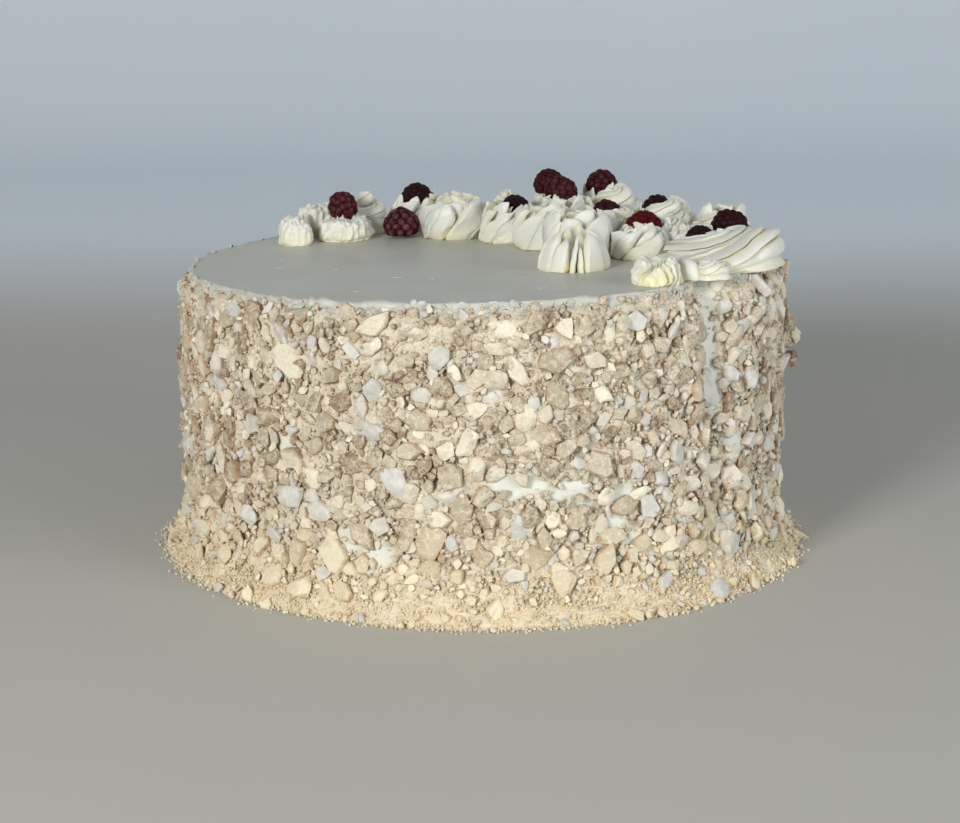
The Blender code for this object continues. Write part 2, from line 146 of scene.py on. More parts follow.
class Finish:
    """A material with one Principled shader, built node by node."""

    def __init__(self, name: str, roughness: float, **constants: float | Color) -> None:
        """Start a material.

        Args:
            name: The material's name.
            roughness: The shader's roughness.
            constants: Values for the shader's own sockets, named with _ for a space.
        """
        self.material = bpy.data.materials.new(name)
        self.material.use_nodes = True
        self.tree = self.material.node_tree
        self.shader = self.tree.nodes["Principled BSDF"]
        self.shader.inputs["Roughness"].default_value = roughness
        for key, value in constants.items():
            self.shader.inputs[key.replace("_", " ")].default_value = value

    def node(self, kind: str, settings: dict | None = None, inputs: dict | None = None) -> bpy.types.Node:
        """Add a node.

        Args:
            kind: The node's type.
            settings: Properties of the node, set before its sockets.
            inputs: Values or wires for its sockets, by name or number.

        Returns:
            The new node.
        """
        node = self.tree.nodes.new(kind)
        for key, value in (settings or {}).items():
            setattr(node, key, value)
        for key, value in (inputs or {}).items():
            self.plug(value, node.inputs[key])
        return node

    def plug(self, value: Wire | float | Color, socket: bpy.types.NodeSocket) -> None:
        """Link a wire into a socket, or set the socket's own value.

        Args:
            value: The wire, number, colour or vector.
            socket: The socket that takes it.
        """
        if isinstance(value, Wire):
            self.tree.links.new(value.socket, socket)
        elif isinstance(value, tuple) and socket.type == "RGBA":
            socket.default_value = (*value, 1.0)
        else:
            socket.default_value = value

    def wire(self, node: bpy.types.Node, output: str | int = 0) -> Wire:
        """Wrap one of a node's outputs."""
        return Wire(self, node.outputs[output])

    def place(self) -> Wire:
        """The place on the piece, in metres."""
        return self.wire(self.node("ShaderNodeTexCoord"), "Object")

    def along(self, axis: str) -> Wire:
        """How far the place on the piece lies along the X, Y or Z axis."""
        return self.wire(self.node("ShaderNodeSeparateXYZ", None, {"Vector": self.place()}), axis)

    def stretched(self, east: float, north: float, up: float) -> Wire:
        """The place on the piece, stretched by a factor along each axis."""
        factors = {0: self.place(), 1: (east, north, up)}
        return self.wire(self.node("ShaderNodeVectorMath", {"operation": "MULTIPLY"}, factors))

    def noise(self, scale: float, detail: float = 2.0, rough: float = 0.5, at: Wire | None = None) -> Wire:
        """Add a noise texture.

        Args:
            scale: Blobs a metre.
            detail: How many finer layers it has.
            rough: How strong the finer layers are.
            at: The coordinates, or the place on the piece if left out.

        Returns:
            The noise, about 0 to 1.
        """
        inputs = {"Vector": at or self.place(), "Scale": scale, "Detail": detail, "Roughness": rough}
        return self.wire(self.node("ShaderNodeTexNoise", None, inputs))

    def tint(self, channel: Channel) -> Wire:
        """Read what the mesh stores about each corner.

        Args:
            channel: Which of the stored numbers.

        Returns:
            The number.
        """
        reader = self.node("ShaderNodeAttribute", {"attribute_name": "tint"})
        split = self.node("ShaderNodeSeparateColor", None, {"Color": self.wire(reader, "Color")})
        return self.wire(split, channel.value)

    def mix(self, share: Wire | float, first: Wire | Color, second: Wire | Color) -> Wire:
        """Mix two colours.

        Args:
            share: How much of the second one.
            first: The first colour.
            second: The second colour.

        Returns:
            The mixed colour.
        """
        node = self.node("ShaderNodeMix", {"data_type": "RGBA", "clamp_factor": True}, {"Factor": share})
        colors = [socket for socket in node.inputs if socket.type == "RGBA"]
        self.plug(first, colors[0])
        self.plug(second, colors[1])
        return Wire(self, next(socket for socket in node.outputs if socket.type == "RGBA"))

    def bump(self, height: Wire, distance: float, strength: float = 1.0) -> None:
        """Feed a height into the shader's normal.

        Args:
            height: The relief, about 0 to 1.
            distance: How high 1 stands, in metres.
            strength: The share of the effect.
        """
        inputs = {"Height": height, "Distance": distance, "Strength": strength}
        node = self.node("ShaderNodeBump", None, inputs)
        self.plug(self.wire(node), self.shader.inputs["Normal"])

    def paint(self, color: Wire | Color) -> None:
        """Set the base colour."""
        self.plug(color, self.shader.inputs["Base Color"])

    def roughen(self, roughness: Wire) -> None:
        """Let the roughness vary."""
        self.plug(roughness, self.shader.inputs["Roughness"])


class Channel(Enum):
    """The three numbers that a mesh stores for each corner, in the order of their names."""

    FIRST = "Red"
    SECOND = "Green"
    THIRD = "Blue"


# How light runs under the skin of cream, in metres for red, green and blue.
CREAM_GLOW = {"Subsurface_Radius": (0.005, 0.004, 0.0028), "Subsurface_Scale": 1.0}


@dataclass(frozen=True)
class CreamFinish:
    """Whipped cream: warm white and soft, with fine pinholes. Painted shade makes it yellower and darker in
    its valleys, a painted shadow greys its deepest creases, and painted yellow light, for light shining
    through the cream, brightens its foot.
    """

    name: str = "whipped_cream"
    light: Color = srgb(232, 232, 222)
    # deep: the valleys' colour, yellower and darker, painted shade for the light they lose.
    deep: Color = srgb(224, 219, 180)
    # gap: painted shadow, the greyer colour in the deepest creases under the crisp edges.
    gap: Color = srgb(190, 184, 148)
    # painted yellow light at the foot of the cream, standing for light that shines through it.
    painted_glow: Color = srgb(255, 246, 188)
    grain: float = 0.09 * MM

    def make(self) -> Material:
        """Build the material.

        Returns:
            The material.
        """
        finish = Finish(self.name, 0.42, Specular_IOR_Level=0.35, Subsurface_Weight=0.25, **CREAM_GLOW)
        valley = finish.tint(Channel.FIRST)
        blotch = finish.noise(110.0, 3.0).step(0.35, 0.75)
        # Valleys are painted towards the deep colour as painted shade; the blotches are the cream's own tone.
        face = finish.mix(valley * 0.75 + blotch * 0.18, self.light, self.deep)
        # The deepest creases get a painted shadow.
        with_painted_shade = finish.mix(valley.step(0.85, 1.0) * 0.6, face, self.gap)
        # low: near the swirl's foot, most in its valleys, where painted yellow light is laid on.
        low = (1.0 - finish.along("Z").step(0.0, 0.006)) * (valley * 0.8 + 0.14)
        finish.paint(finish.mix(low, with_painted_shade, self.painted_glow))
        finish.roughen(finish.noise(220.0, 2.0) * 0.2 + 0.34)
        finish.bump(finish.noise(1300.0, 3.0, 0.6) + finish.noise(330.0, 2.0) * 2.2, self.grain, 0.6)
        return finish.material


@dataclass(frozen=True)
class SpreadCreamFinish:
    """The cream spread over the cake: the piped one's cream with fine strokes of the knife, painted darker as
    painted shade for the dimmer light on the flat top.
    """

    name: str = "spread_cream"
    # light and deep: the cream's tones, both painted darker than the piped cream's as painted shade, since
    # the flat top catches less light.
    light: Color = srgb(200, 200, 189)
    deep: Color = srgb(190, 188, 175)

    def make(self) -> Material:
        """Build the material.

        Returns:
            The material.
        """
        finish = Finish(self.name, 0.4, Specular_IOR_Level=0.3, Subsurface_Weight=0.15, **CREAM_GLOW)
        blotch = finish.noise(40.0, 4.0).step(0.35, 0.7)
        strokes = finish.noise(1.0, 3.0, 0.6, finish.stretched(18.0, 260.0, 120.0))
        patches = finish.noise(30.0, 2.0).step(0.45, 0.7)
        scrapes = finish.noise(1.0, 2.0, 0.5, finish.stretched(60.0, 900.0, 120.0)).step(0.62, 0.74)
        dull = blotch * 0.5 + patches * strokes.step(0.5, 0.8) * 0.25
        finish.paint(finish.mix(dull, self.light, self.deep))
        finish.roughen(strokes * 0.18 + 0.32)
        relief = (strokes.step(0.42, 0.78) + scrapes * 0.4) * (patches * 0.8 + 0.2)
        finish.bump(relief + finish.noise(500.0, 2.0) * 0.2, 0.11 * MM, 0.6)
        return finish.material


@dataclass(frozen=True)
class PowderFinish:
    """The dust of crushed meringue on cream.

    The stored numbers say where bare cream shows, how deep the place lies, where painted shade browns it, and
    how near the foot it is, where painted light makes it paler.
    """

    name: str = "meringue_dust"
    dust: Color = srgb(246, 237, 216)
    warm: Color = srgb(214, 190, 156)
    # painted shade: the brown of the deep places between the crags.
    recess_shade: Color = srgb(128, 96, 66)
    cream: Color = srgb(230, 231, 220)
    # painted light: the paler colour near the foot, where more light falls on the flared skirt.
    pale_dust_and_foot_light: Color = srgb(255, 240, 206)

    def make(self) -> Material:
        """Build the material.

        Returns:
            The material.
        """
        finish = Finish(self.name, 0.9, Specular_IOR_Level=0.2)
        bare = finish.tint(Channel.FIRST)
        deep = finish.tint(Channel.SECOND)
        speck = finish.noise(900.0, 3.0, 0.7)
        patch = finish.noise(130.0, 3.0)
        dusty = finish.mix(speck.step(0.46, 0.66) * 0.6 + patch.step(0.5, 0.75) * 0.3, self.dust, self.warm)
        # Deep places are painted browner as painted shade.
        with_painted_shade = finish.mix(deep * (speck * 0.9 + 0.1), dusty, self.recess_shade)
        # Near the foot the dust is painted paler as painted light.
        pale = finish.mix(finish.tint(Channel.THIRD) * (1.25 - speck * 0.45), with_painted_shade, self.pale_dust_and_foot_light)
        finish.paint(finish.mix(bare, pale, self.cream))
        finish.bump(finish.noise(1300.0, 4.0, 0.75) * (1.0 - bare * 0.8), 0.9 * MM, 0.9)
        return finish.material


@dataclass(frozen=True)
class MeringueFinish:
    """Crushed meringue.

    The stored numbers are each piece's tone from pale to beige, its baking, from chilled pale grey
    at 0 to toasted at 1, and how near the corner is to the broken foot of the piece, which is painted
    brown as painted shade for the crevices round it.
    """

    name: str = "crushed_meringue"
    pale: Color = srgb(252, 244, 223)
    beige: Color = srgb(190, 177, 152)
    toast: Color = srgb(158, 137, 112)
    # low: painted light, the paler colour of pieces near the foot of the cake.
    low: Color = srgb(255, 241, 206)
    freckle: Color = srgb(116, 88, 64)
    chill: Color = srgb(222, 220, 212)
    shade: Color = srgb(197, 193, 184)
    # rim: painted shade, the brown laid on the broken foot of each piece where it meets the crevices.
    rim: Color = srgb(182, 136, 92)

    def make(self) -> Material:
        """Build the material.

        Returns:
            The material.
        """
        finish = Finish(self.name, 0.85, Specular_IOR_Level=0.22)
        tone = finish.tint(Channel.FIRST)
        baked = finish.tint(Channel.SECOND)
        foot = finish.tint(Channel.THIRD)
        toast = baked.step(0.5, 1.0)
        chill = (1.0 - baked).step(0.6, 0.95)
        cloud = finish.noise(240.0, 4.0, 0.65)
        fine = finish.noise(1500.0, 3.0, 0.7)
        base = finish.mix(tone * 0.95 + cloud * 0.7 - 0.32, self.pale, self.beige)
        scorched = finish.noise(105.0, 3.0, 0.6).step(0.52, 0.67) * (1.0 - chill)
        browned = finish.mix(toast * cloud.step(0.25, 0.75) + scorched * 0.35, base, self.toast)
        spots = fine.step(0.52, 0.61) * (toast.step(0.3, 0.9) * 0.8 + scorched * 0.65)
        freckled = finish.mix(spots + fine.step(0.58, 0.66) * 0.2, browned, self.freckle)
        pale_dust_and_foot_light = finish.noise(520.0, 5.0, 0.75).step(0.48, 0.62) * 0.6
        dusted = finish.mix(pale_dust_and_foot_light * (0.55 + cloud * 0.6) * (1.0 - scorched * 0.6), freckled, self.pale)
        height = finish.along("Z")
        # Pieces low on the cake are painted paler as painted light.
        foot_lit = finish.mix((1.0 - height.step(0.004, 0.05)) * 0.7, dusted, self.low)
        fresh = finish.mix(cloud.step(0.35, 0.7), self.chill, self.shade)
        cool = finish.mix(chill, foot_lit, fresh)
        # The foot of each piece is painted brown as painted shade.
        finish.paint(finish.mix(foot * (cloud * 1.1 + 0.1) * (1.0 - chill * 0.6), cool, self.rim))
        smooth = 1.0 - chill * 0.75
        finish.bump((fine * 0.7 + finish.noise(520.0, 3.0)) * smooth, 0.8 * MM, 0.9)
        return finish.material


@dataclass(frozen=True)
class BerryFinish:
    """Frozen raspberry: deep burgundy drupelets with a dull frost on their crowns, and painted shade in the
    gaps between them.

    The stored numbers are how near the corner is to a drupelet's crown, how bright the berry's
    flesh is, and how much frost it has.
    """

    name: str = "raspberry_skin"
    flesh: Color = srgb(74, 4, 8)
    dull: Color = srgb(32, 7, 10)
    # painted shade: the near-black red in the gaps between the drupelets.
    gap_shade: Color = srgb(18, 3, 6)
    frost: Color = srgb(114, 76, 84)

    def make(self) -> Material:
        """Build the material.

        Returns:
            The material.
        """
        finish = Finish(self.name, 0.42, Specular_IOR_Level=0.13, Subsurface_Weight=0.08,
                        Subsurface_Radius=(0.002, 0.0005, 0.0005), Subsurface_Scale=1.0)
        crown = finish.tint(Channel.FIRST)
        bright = finish.tint(Channel.SECOND)
        frost = finish.tint(Channel.THIRD)
        cloud = finish.noise(330.0, 3.0, 0.6)
        skin = finish.mix(bright, self.dull, self.flesh)
        # Away from the crowns the skin is painted near-black as painted shade.
        with_painted_shade = finish.mix(crown.step(0.15, 0.7), self.gap_shade, skin)
        finish.paint(finish.mix(crown.step(0.55, 1.0) * cloud.step(0.35, 0.7) * frost, with_painted_shade, self.frost))
        finish.roughen(cloud * 0.3 + 0.38)
        finish.bump(finish.noise(1800.0, 2.0), 0.08 * MM, 0.5)
        return finish.material


class Relief:
    """Smooth random relief on a sheet that closes on itself sideways."""

    def __init__(self, seed: int, columns: int, rows: int) -> None:
        """Draw the corners of the relief.

        Args:
            seed: The seed of its random heights.
            columns: Cells round the sheet.
            rows: Cells up the sheet.
        """
        self.columns = columns
        self.rows = rows
        self.lattice = np.random.default_rng(seed).random((rows + 2, columns))

    def at(self, turns: Points, share_up: Points) -> Points:
        """Height of the relief.

        Args:
            turns: Place round the sheet, 1 for once round.
            share_up: Place up the sheet, 0 to 1.

        Returns:
            Heights from 0 to 1.
        """
        across = (turns % 1.0) * self.columns
        up = np.clip(share_up, 0.0, 1.0) * self.rows
        column = np.floor(across).astype(int)
        row = np.floor(up).astype(int)
        blend_across = smooth_share(across - column)
        blend_up = smooth_share(up - row)
        after = (column + 1) % self.columns
        column %= self.columns
        lower, upper = (
            self.lattice[level, column] * (1 - blend_across) + self.lattice[level, after] * blend_across
            for level in (row, row + 1)
        )
        return lower * (1 - blend_up) + upper * blend_up

    def round_ring(self, angles: Points) -> Points:
        """Height of the relief round a ring, 0 to 1."""
        return self.at(angles / math.tau, np.zeros_like(angles))


def smooth_share(share: Points) -> Points:
    """Ease a share from 0 to 1."""
    return share * share * (3.0 - 2.0 * share)


def unit(directions: Points) -> Points:
    """Scale each direction to a length of 1."""
    return directions / np.linalg.norm(directions, axis=-1, keepdims=True)


def wrap(angle: Points | float) -> Points | float:
    """Bring an angle within half a turn of 0."""
    return (angle + math.pi) % math.tau - math.pi


def polar(radius: Points | float, angle: Points | float, height: Points | float) -> Points:
    """Corners at a distance from the axis, in a direction and at a height."""
    return np.stack(np.broadcast_arrays(radius * np.cos(angle), radius * np.sin(angle), height), axis=-1)


def turns_about(axis: int, angles: Points) -> Points:
    """Rotation matrices about one axis.

    Args:
        axis: 0, 1 or 2 for X, Y or Z.
        angles: One angle for each matrix.

    Returns:
        The matrices.
    """
    first, second = (axis + 1) % 3, (axis + 2) % 3
    matrices = np.zeros((len(angles), 3, 3))
    matrices[:, axis, axis] = 1.0
    matrices[:, first, first] = np.cos(angles)
    matrices[:, second, second] = np.cos(angles)
    matrices[:, first, second] = -np.sin(angles)
    matrices[:, second, first] = np.sin(angles)
    return matrices


def turn_about(axis: int, angle: float) -> Points:
    """Rotation matrix about one axis, 0, 1 or 2 for X, Y or Z."""
    return turns_about(axis, np.array([angle]))[0]


@dataclass(frozen=True)
class CakeShape:
    """The form of the cake's body, as its solid has it."""

    top_height: float = 113.0 * MM
    cream_radius: float = 113.0 * MM
    coat_radius: float = 117.0 * MM
    coat_top: float = 107.5 * MM
    skirt_radius: float = 126.5 * MM
    skirt_height: float = 22.0 * MM
    slope_east: float = 0.029
    slope_north: float = -0.024
    cleft_angle: float = math.radians(-41.0)
    cleft_depth: float = 8.0 * MM
    cleft_half_width: float = math.radians(5.2)
    flat_angle: float = math.radians(-55.0)
    flat_depth: float = 2.2 * MM
    flat_half_width: float = math.radians(9.0)

    def bump(self, offset: Points, half_width: float) -> Points:
        """A smooth bump that is 1 in the middle."""
        return np.exp(-((offset / half_width) ** 2))

    def waviness(self, angle: Points, height: Points) -> Points:
        """How far the hand-spread wall stands out or in.

        Args:
            angle: Angles round the wall.
            height: Heights up the wall.

        Returns:
            The distance outward at each place.
        """
        wide = 0.8 * np.sin(2.0 * angle + 0.7) + 0.6 * np.sin(3.0 * angle - 1.9 + 14.0 * height)
        fine = 0.5 * np.sin(7.0 * angle + 31.0 * height) + 0.35 * np.sin(11.0 * angle - 47.0 * height)
        return (wide + fine) * 0.7 * MM

    def cleft(self, angle: Points, height: Points) -> Points:
        """How far the cleft and the flatter rim go in.

        Args:
            angle: Angles round the wall.
            height: Heights up the wall.

        Returns:
            The distance inward at each place.
        """
        share_up = np.clip(height / self.top_height, 0.0, 1.0)
        depth = self.cleft_depth * (0.25 + 0.75 * share_up)
        flat = self.flat_depth * share_up * self.bump(angle - self.flat_angle, self.flat_half_width)
        return depth * self.bump(angle - self.cleft_angle, self.cleft_half_width) + flat

    def offset(self, angle: Points, height: Points) -> Points:
        """How far the wall differs from a turned one.

        Args:
            angle: Angles round the wall.
            height: Heights up the wall.

        Returns:
            The distance outward at each place.
        """
        foot_share = np.clip(height / self.skirt_height, 0.0, 1.0)
        wrapped = wrap(angle)
        return foot_share * (self.waviness(wrapped, height) - self.cleft(wrapped, height))

    def turned_radius(self, height: Points) -> Points:
        """Radius of the turned wall, from the flared skirt up to the rim.

        Args:
            height: Heights up the wall.

        Returns:
            The radius at each height.
        """
        skirt, coat = self.skirt_height, self.coat_radius
        profile = (
            (0.0, self.skirt_radius),
            (0.07 * skirt, self.skirt_radius - 0.8 * MM),
            (0.24 * skirt, coat + 4.6 * MM),
            (0.55 * skirt, coat + 1.6 * MM),
            (skirt, coat),
            (self.coat_top, coat),
            (self.coat_top + 1.5 * MM, self.cream_radius + 0.5 * MM),
        )
        return np.interp(height, *zip(*profile))

    def wall_radius(self, angle: Points, height: Points) -> Points:
        """Distance of the coat from the axis."""
        return self.turned_radius(height) + self.offset(angle, height)

    def lean(self, points: Points) -> Points:
        """Lean points as the whole cake leans.

        Args:
            points: Points on the upright cake.

        Returns:
            The same points on the leaning one.
        """
        leant = points.copy()
        slope = self.slope_east * points[..., 0] + self.slope_north * points[..., 1]
        leant[..., 2] = points[..., 2] * (1.0 + slope / self.top_height)
        return leant

    def on_wall(self, angle: Points, height: Points, outward: Points | float) -> Points:
        """Points a little outside the wall."""
        return self.lean(polar(self.wall_radius(angle, height) + outward, angle, height))

    def wall_frames(self, angle: Points, height: Points) -> Points:
        """Directions round, up and out of the wall at each place.

        Args:
            angle: Angles round the wall.
            height: Heights up the wall.

        Returns:
            A matrix for each place, with the three directions as its columns.
        """
        here = self.on_wall(angle, height, 0.0)
        around = unit(self.on_wall(angle + 0.01, height, 0.0) - here)
        above = self.on_wall(angle, height + MM, 0.0) - here
        outward = unit(np.cross(around, above))
        return np.stack([around, np.cross(outward, around), outward], axis=-1)

    def top_matrix(self) -> Matrix:
        """The frame that swirls and berries stand in: the middle of the leaning top.

        Returns:
            The frame.
        """
        upright = Vector((-self.slope_east, -self.slope_north, 1.0)).normalized()
        turn = Vector((0.0, 0.0, 1.0)).rotation_difference(upright).to_matrix().to_4x4()
        return Matrix.Translation((0.0, 0.0, self.top_height)) @ turn


@dataclass(frozen=True)
class BarePatch:
    """A place where cream shows between the crumbs: its direction in degrees, and the rest in mm."""

    degrees: float
    height: float
    half_width: float
    half_height: float


BARE_PATCHES = (
    BarePatch(-83.0, 50.0, 14.0, 5.5),
    BarePatch(-74.0, 47.0, 13.0, 6.0),
    BarePatch(-65.0, 44.0, 8.0, 4.0),
    BarePatch(-66.0, 29.0, 10.0, 6.0),
    BarePatch(-114.0, 29.0, 6.0, 7.0),
    BarePatch(-110.0, 22.0, 9.0, 4.0),
    BarePatch(-128.0, 60.0, 5.0, 4.0),
    BarePatch(-35.0, 52.0, 5.0, 9.0),
    BarePatch(20.0, 40.0, 10.0, 6.0),
    BarePatch(95.0, 62.0, 12.0, 5.0),
    BarePatch(160.0, 35.0, 9.0, 6.0),
)


class Coating:
    """How thick the crumbs lie at a place on the wall."""

    def __init__(self, shape: CakeShape) -> None:
        """Keep the wall's shape and draw the ragged edge of the bare patches."""
        self.shape = shape
        self.ragged = Relief(31, 140, 22)

    def bareness(self, angle: Points, height: Points) -> Points:
        """How bare the wall is, 0 under thick crumbs to 1 on clean cream.

        Args:
            angle: Angles round the wall.
            height: Heights up the wall.

        Returns:
            The bareness at each place.
        """
        wrapped = wrap(angle)
        ragged = self.ragged.at(wrapped / math.tau, height / self.shape.top_height) - 0.5
        bare = np.zeros_like(wrapped)
        for patch in BARE_PATCHES:
            aside = (wrapped - math.radians(patch.degrees)) * self.shape.coat_radius
            upward = (height - patch.height * MM) / (patch.half_height * MM)
            bare = np.maximum(bare, 1.35 - np.hypot(aside / (patch.half_width * MM), upward))
        cleft = self.shape.bump(wrapped - self.shape.cleft_angle, 0.55 * self.shape.cleft_half_width)
        bare = np.maximum(bare, cleft * np.clip((height / self.shape.top_height - 0.45) * 4.0, 0.0, 1.4))
        rim = (height - self.shape.top_height + 2.2 * MM) / (1.6 * MM)
        return np.clip((np.maximum(bare, rim) + 1.1 * ragged) * 1.6 - 0.35, 0.0, 1.0)


@dataclass
class Crowd:
    """Many small things gathered into one mesh, with three stored numbers for each corner."""

    name: str
    points: list[Points] = field(default_factory=list)
    triangles: list[Points] = field(default_factory=list)
    tints: list[Points] = field(default_factory=list)
    count: int = 0

    def add(self, points: Points, triangles: Points, tint: Points) -> None:
        """Add one thing.

        Args:
            points: Its corners.
            triangles: Its triangles, counted from its own first corner.
            tint: Three numbers for each corner.
        """
        self.points.append(points)
        self.triangles.append(triangles + self.count)
        self.tints.append(tint)
        self.count += len(points)

    def add_all(self, points: Points, triangles: Points, tint: Points) -> None:
        """Add many things of one shape.

        Args:
            points: Corners of each thing.
            triangles: The triangles that they share.
            tint: Three numbers for each corner of each thing.
        """
        things, corners = points.shape[:2]
        starts = np.arange(things)[:, None, None] * corners
        self.add(points.reshape(-1, 3), (triangles[None] + starts).reshape(-1, 3), tint.reshape(-1, 3))

    def object(self, finish: Material, sharp: float | None) -> Piece:
        """Make the mesh and its object.

        Args:
            finish: The material.
            sharp: The angle over which an edge stays sharp, or None to shade all smooth.

        Returns:
            The object, in the scene.
        """
        mesh = mesh_from(self.name, np.concatenate(self.points), np.concatenate(self.triangles))
        paint_tint(mesh, np.concatenate(self.tints))
        return show(mesh, finish, sharp)


def mesh_from(name: str, points: Points, faces: list | Points) -> bpy.types.Mesh:
    """Make a mesh from corners and faces.

    Args:
        name: Its name.
        points: Its corners.
        faces: Its faces, each with the numbers of its corners.

    Returns:
        The mesh.
    """
    mesh = bpy.data.meshes.new(name)
    mesh.from_pydata(points.tolist(), [], faces.tolist() if isinstance(faces, np.ndarray) else faces)
    mesh.update()
    return mesh


def paint_tint(mesh: bpy.types.Mesh, tint: Points) -> None:
    """Store three numbers for each corner of a mesh.

    Args:
        mesh: The mesh.
        tint: The numbers, each held within 0 to 1.
    """
    layer = mesh.color_attributes.new("tint", "FLOAT_COLOR", "POINT")
    colors = np.column_stack([np.clip(tint, 0.0, 1.0), np.ones(len(tint))])
    layer.data.foreach_set("color", colors.astype(np.float32).ravel())


def show(mesh: bpy.types.Mesh, finish: Material, sharp: float | None) -> Piece:
    """Put a mesh in the scene with its finish and shading.

    Args:
        mesh: The mesh.
        finish: The material.
        sharp: The angle over which an edge stays sharp, or None to shade all smooth.

    Returns:
        The object.
    """
    mesh.polygons.foreach_set("use_smooth", [True] * len(mesh.polygons))
    if sharp is not None:
        mesh.set_sharp_from_angle(angle=sharp)
    mesh.materials.append(finish)
    thing = bpy.data.objects.new(mesh.name, mesh)
    bpy.context.scene.collection.objects.link(thing)
    return thing


def dress(thing: Piece, slot: str, *nodes: str) -> None:
    """Let a piece ride on the cake, and hide the solids it stands for.

    Args:
        thing: The piece.
        slot: Not used.
        nodes: The nodes of the solids.
    """
    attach(thing, BODY)
    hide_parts(*nodes)
    triangles = sum(len(polygon.vertices) - 2 for polygon in thing.data.polygons)
    LOG.info("%s: %d triangles", thing.name, triangles)


def grid_faces(rows: int, columns: int) -> Points:
    """Quads of a grid of corners whose rows close on themselves.

    Args:
        rows: Rows of corners.
        columns: Corners in a row.

    Returns:
        The quads.
    """
    corner = np.arange(columns)
    after = (corner + 1) % columns
    starts = np.arange(rows - 1)[:, None] * columns
    quads = [starts + corner, starts + after, starts + columns + after, starts + columns + corner]
    return np.stack(quads, axis=-1).reshape(-1, 4)


def split_quads(quads: Points) -> Points:
    """Cut each quad into two triangles."""
    return np.vstack([quads[:, [0, 1, 2]], quads[:, [0, 2, 3]]])


def fan(ring: Points, middle: int) -> Points:
    """Triangles from a closed ring of corners to one in the middle."""
    return np.stack([ring, np.roll(ring, -1), np.full_like(ring, middle)], axis=1)


def capped(points: Points, columns: int) -> tuple[Points, Points]:
    """Close the last row of rows of corners with a fan.

    Args:
        points: The corners, row by row.
        columns: Corners in a row.

    Returns:
        The corners, with one more in the middle of the last row, and the triangles.
    """
    rows = len(points) // columns
    last = (rows - 1) * columns + np.arange(columns)
    middle = points[-columns:].mean(axis=0)
    sides = split_quads(grid_faces(rows, columns))
    return np.vstack([points, middle]), np.vstack([sides, fan(last, len(points))])


@dataclass(frozen=True)
class Wisp:
    """A torn shred of cream on the rim: its place and half width in degrees and its height in mm."""

    degrees: float
    half_width: float
    height: float


WISPS = (
    Wisp(-108.5, 4.5, 1.1),
    Wisp(-95.0, 0.7, 2.0),
    Wisp(-121.0, 2.5, 0.9),
    Wisp(-72.0, 3.0, 0.8),
    Wisp(-150.0, 2.0, 0.9),
)


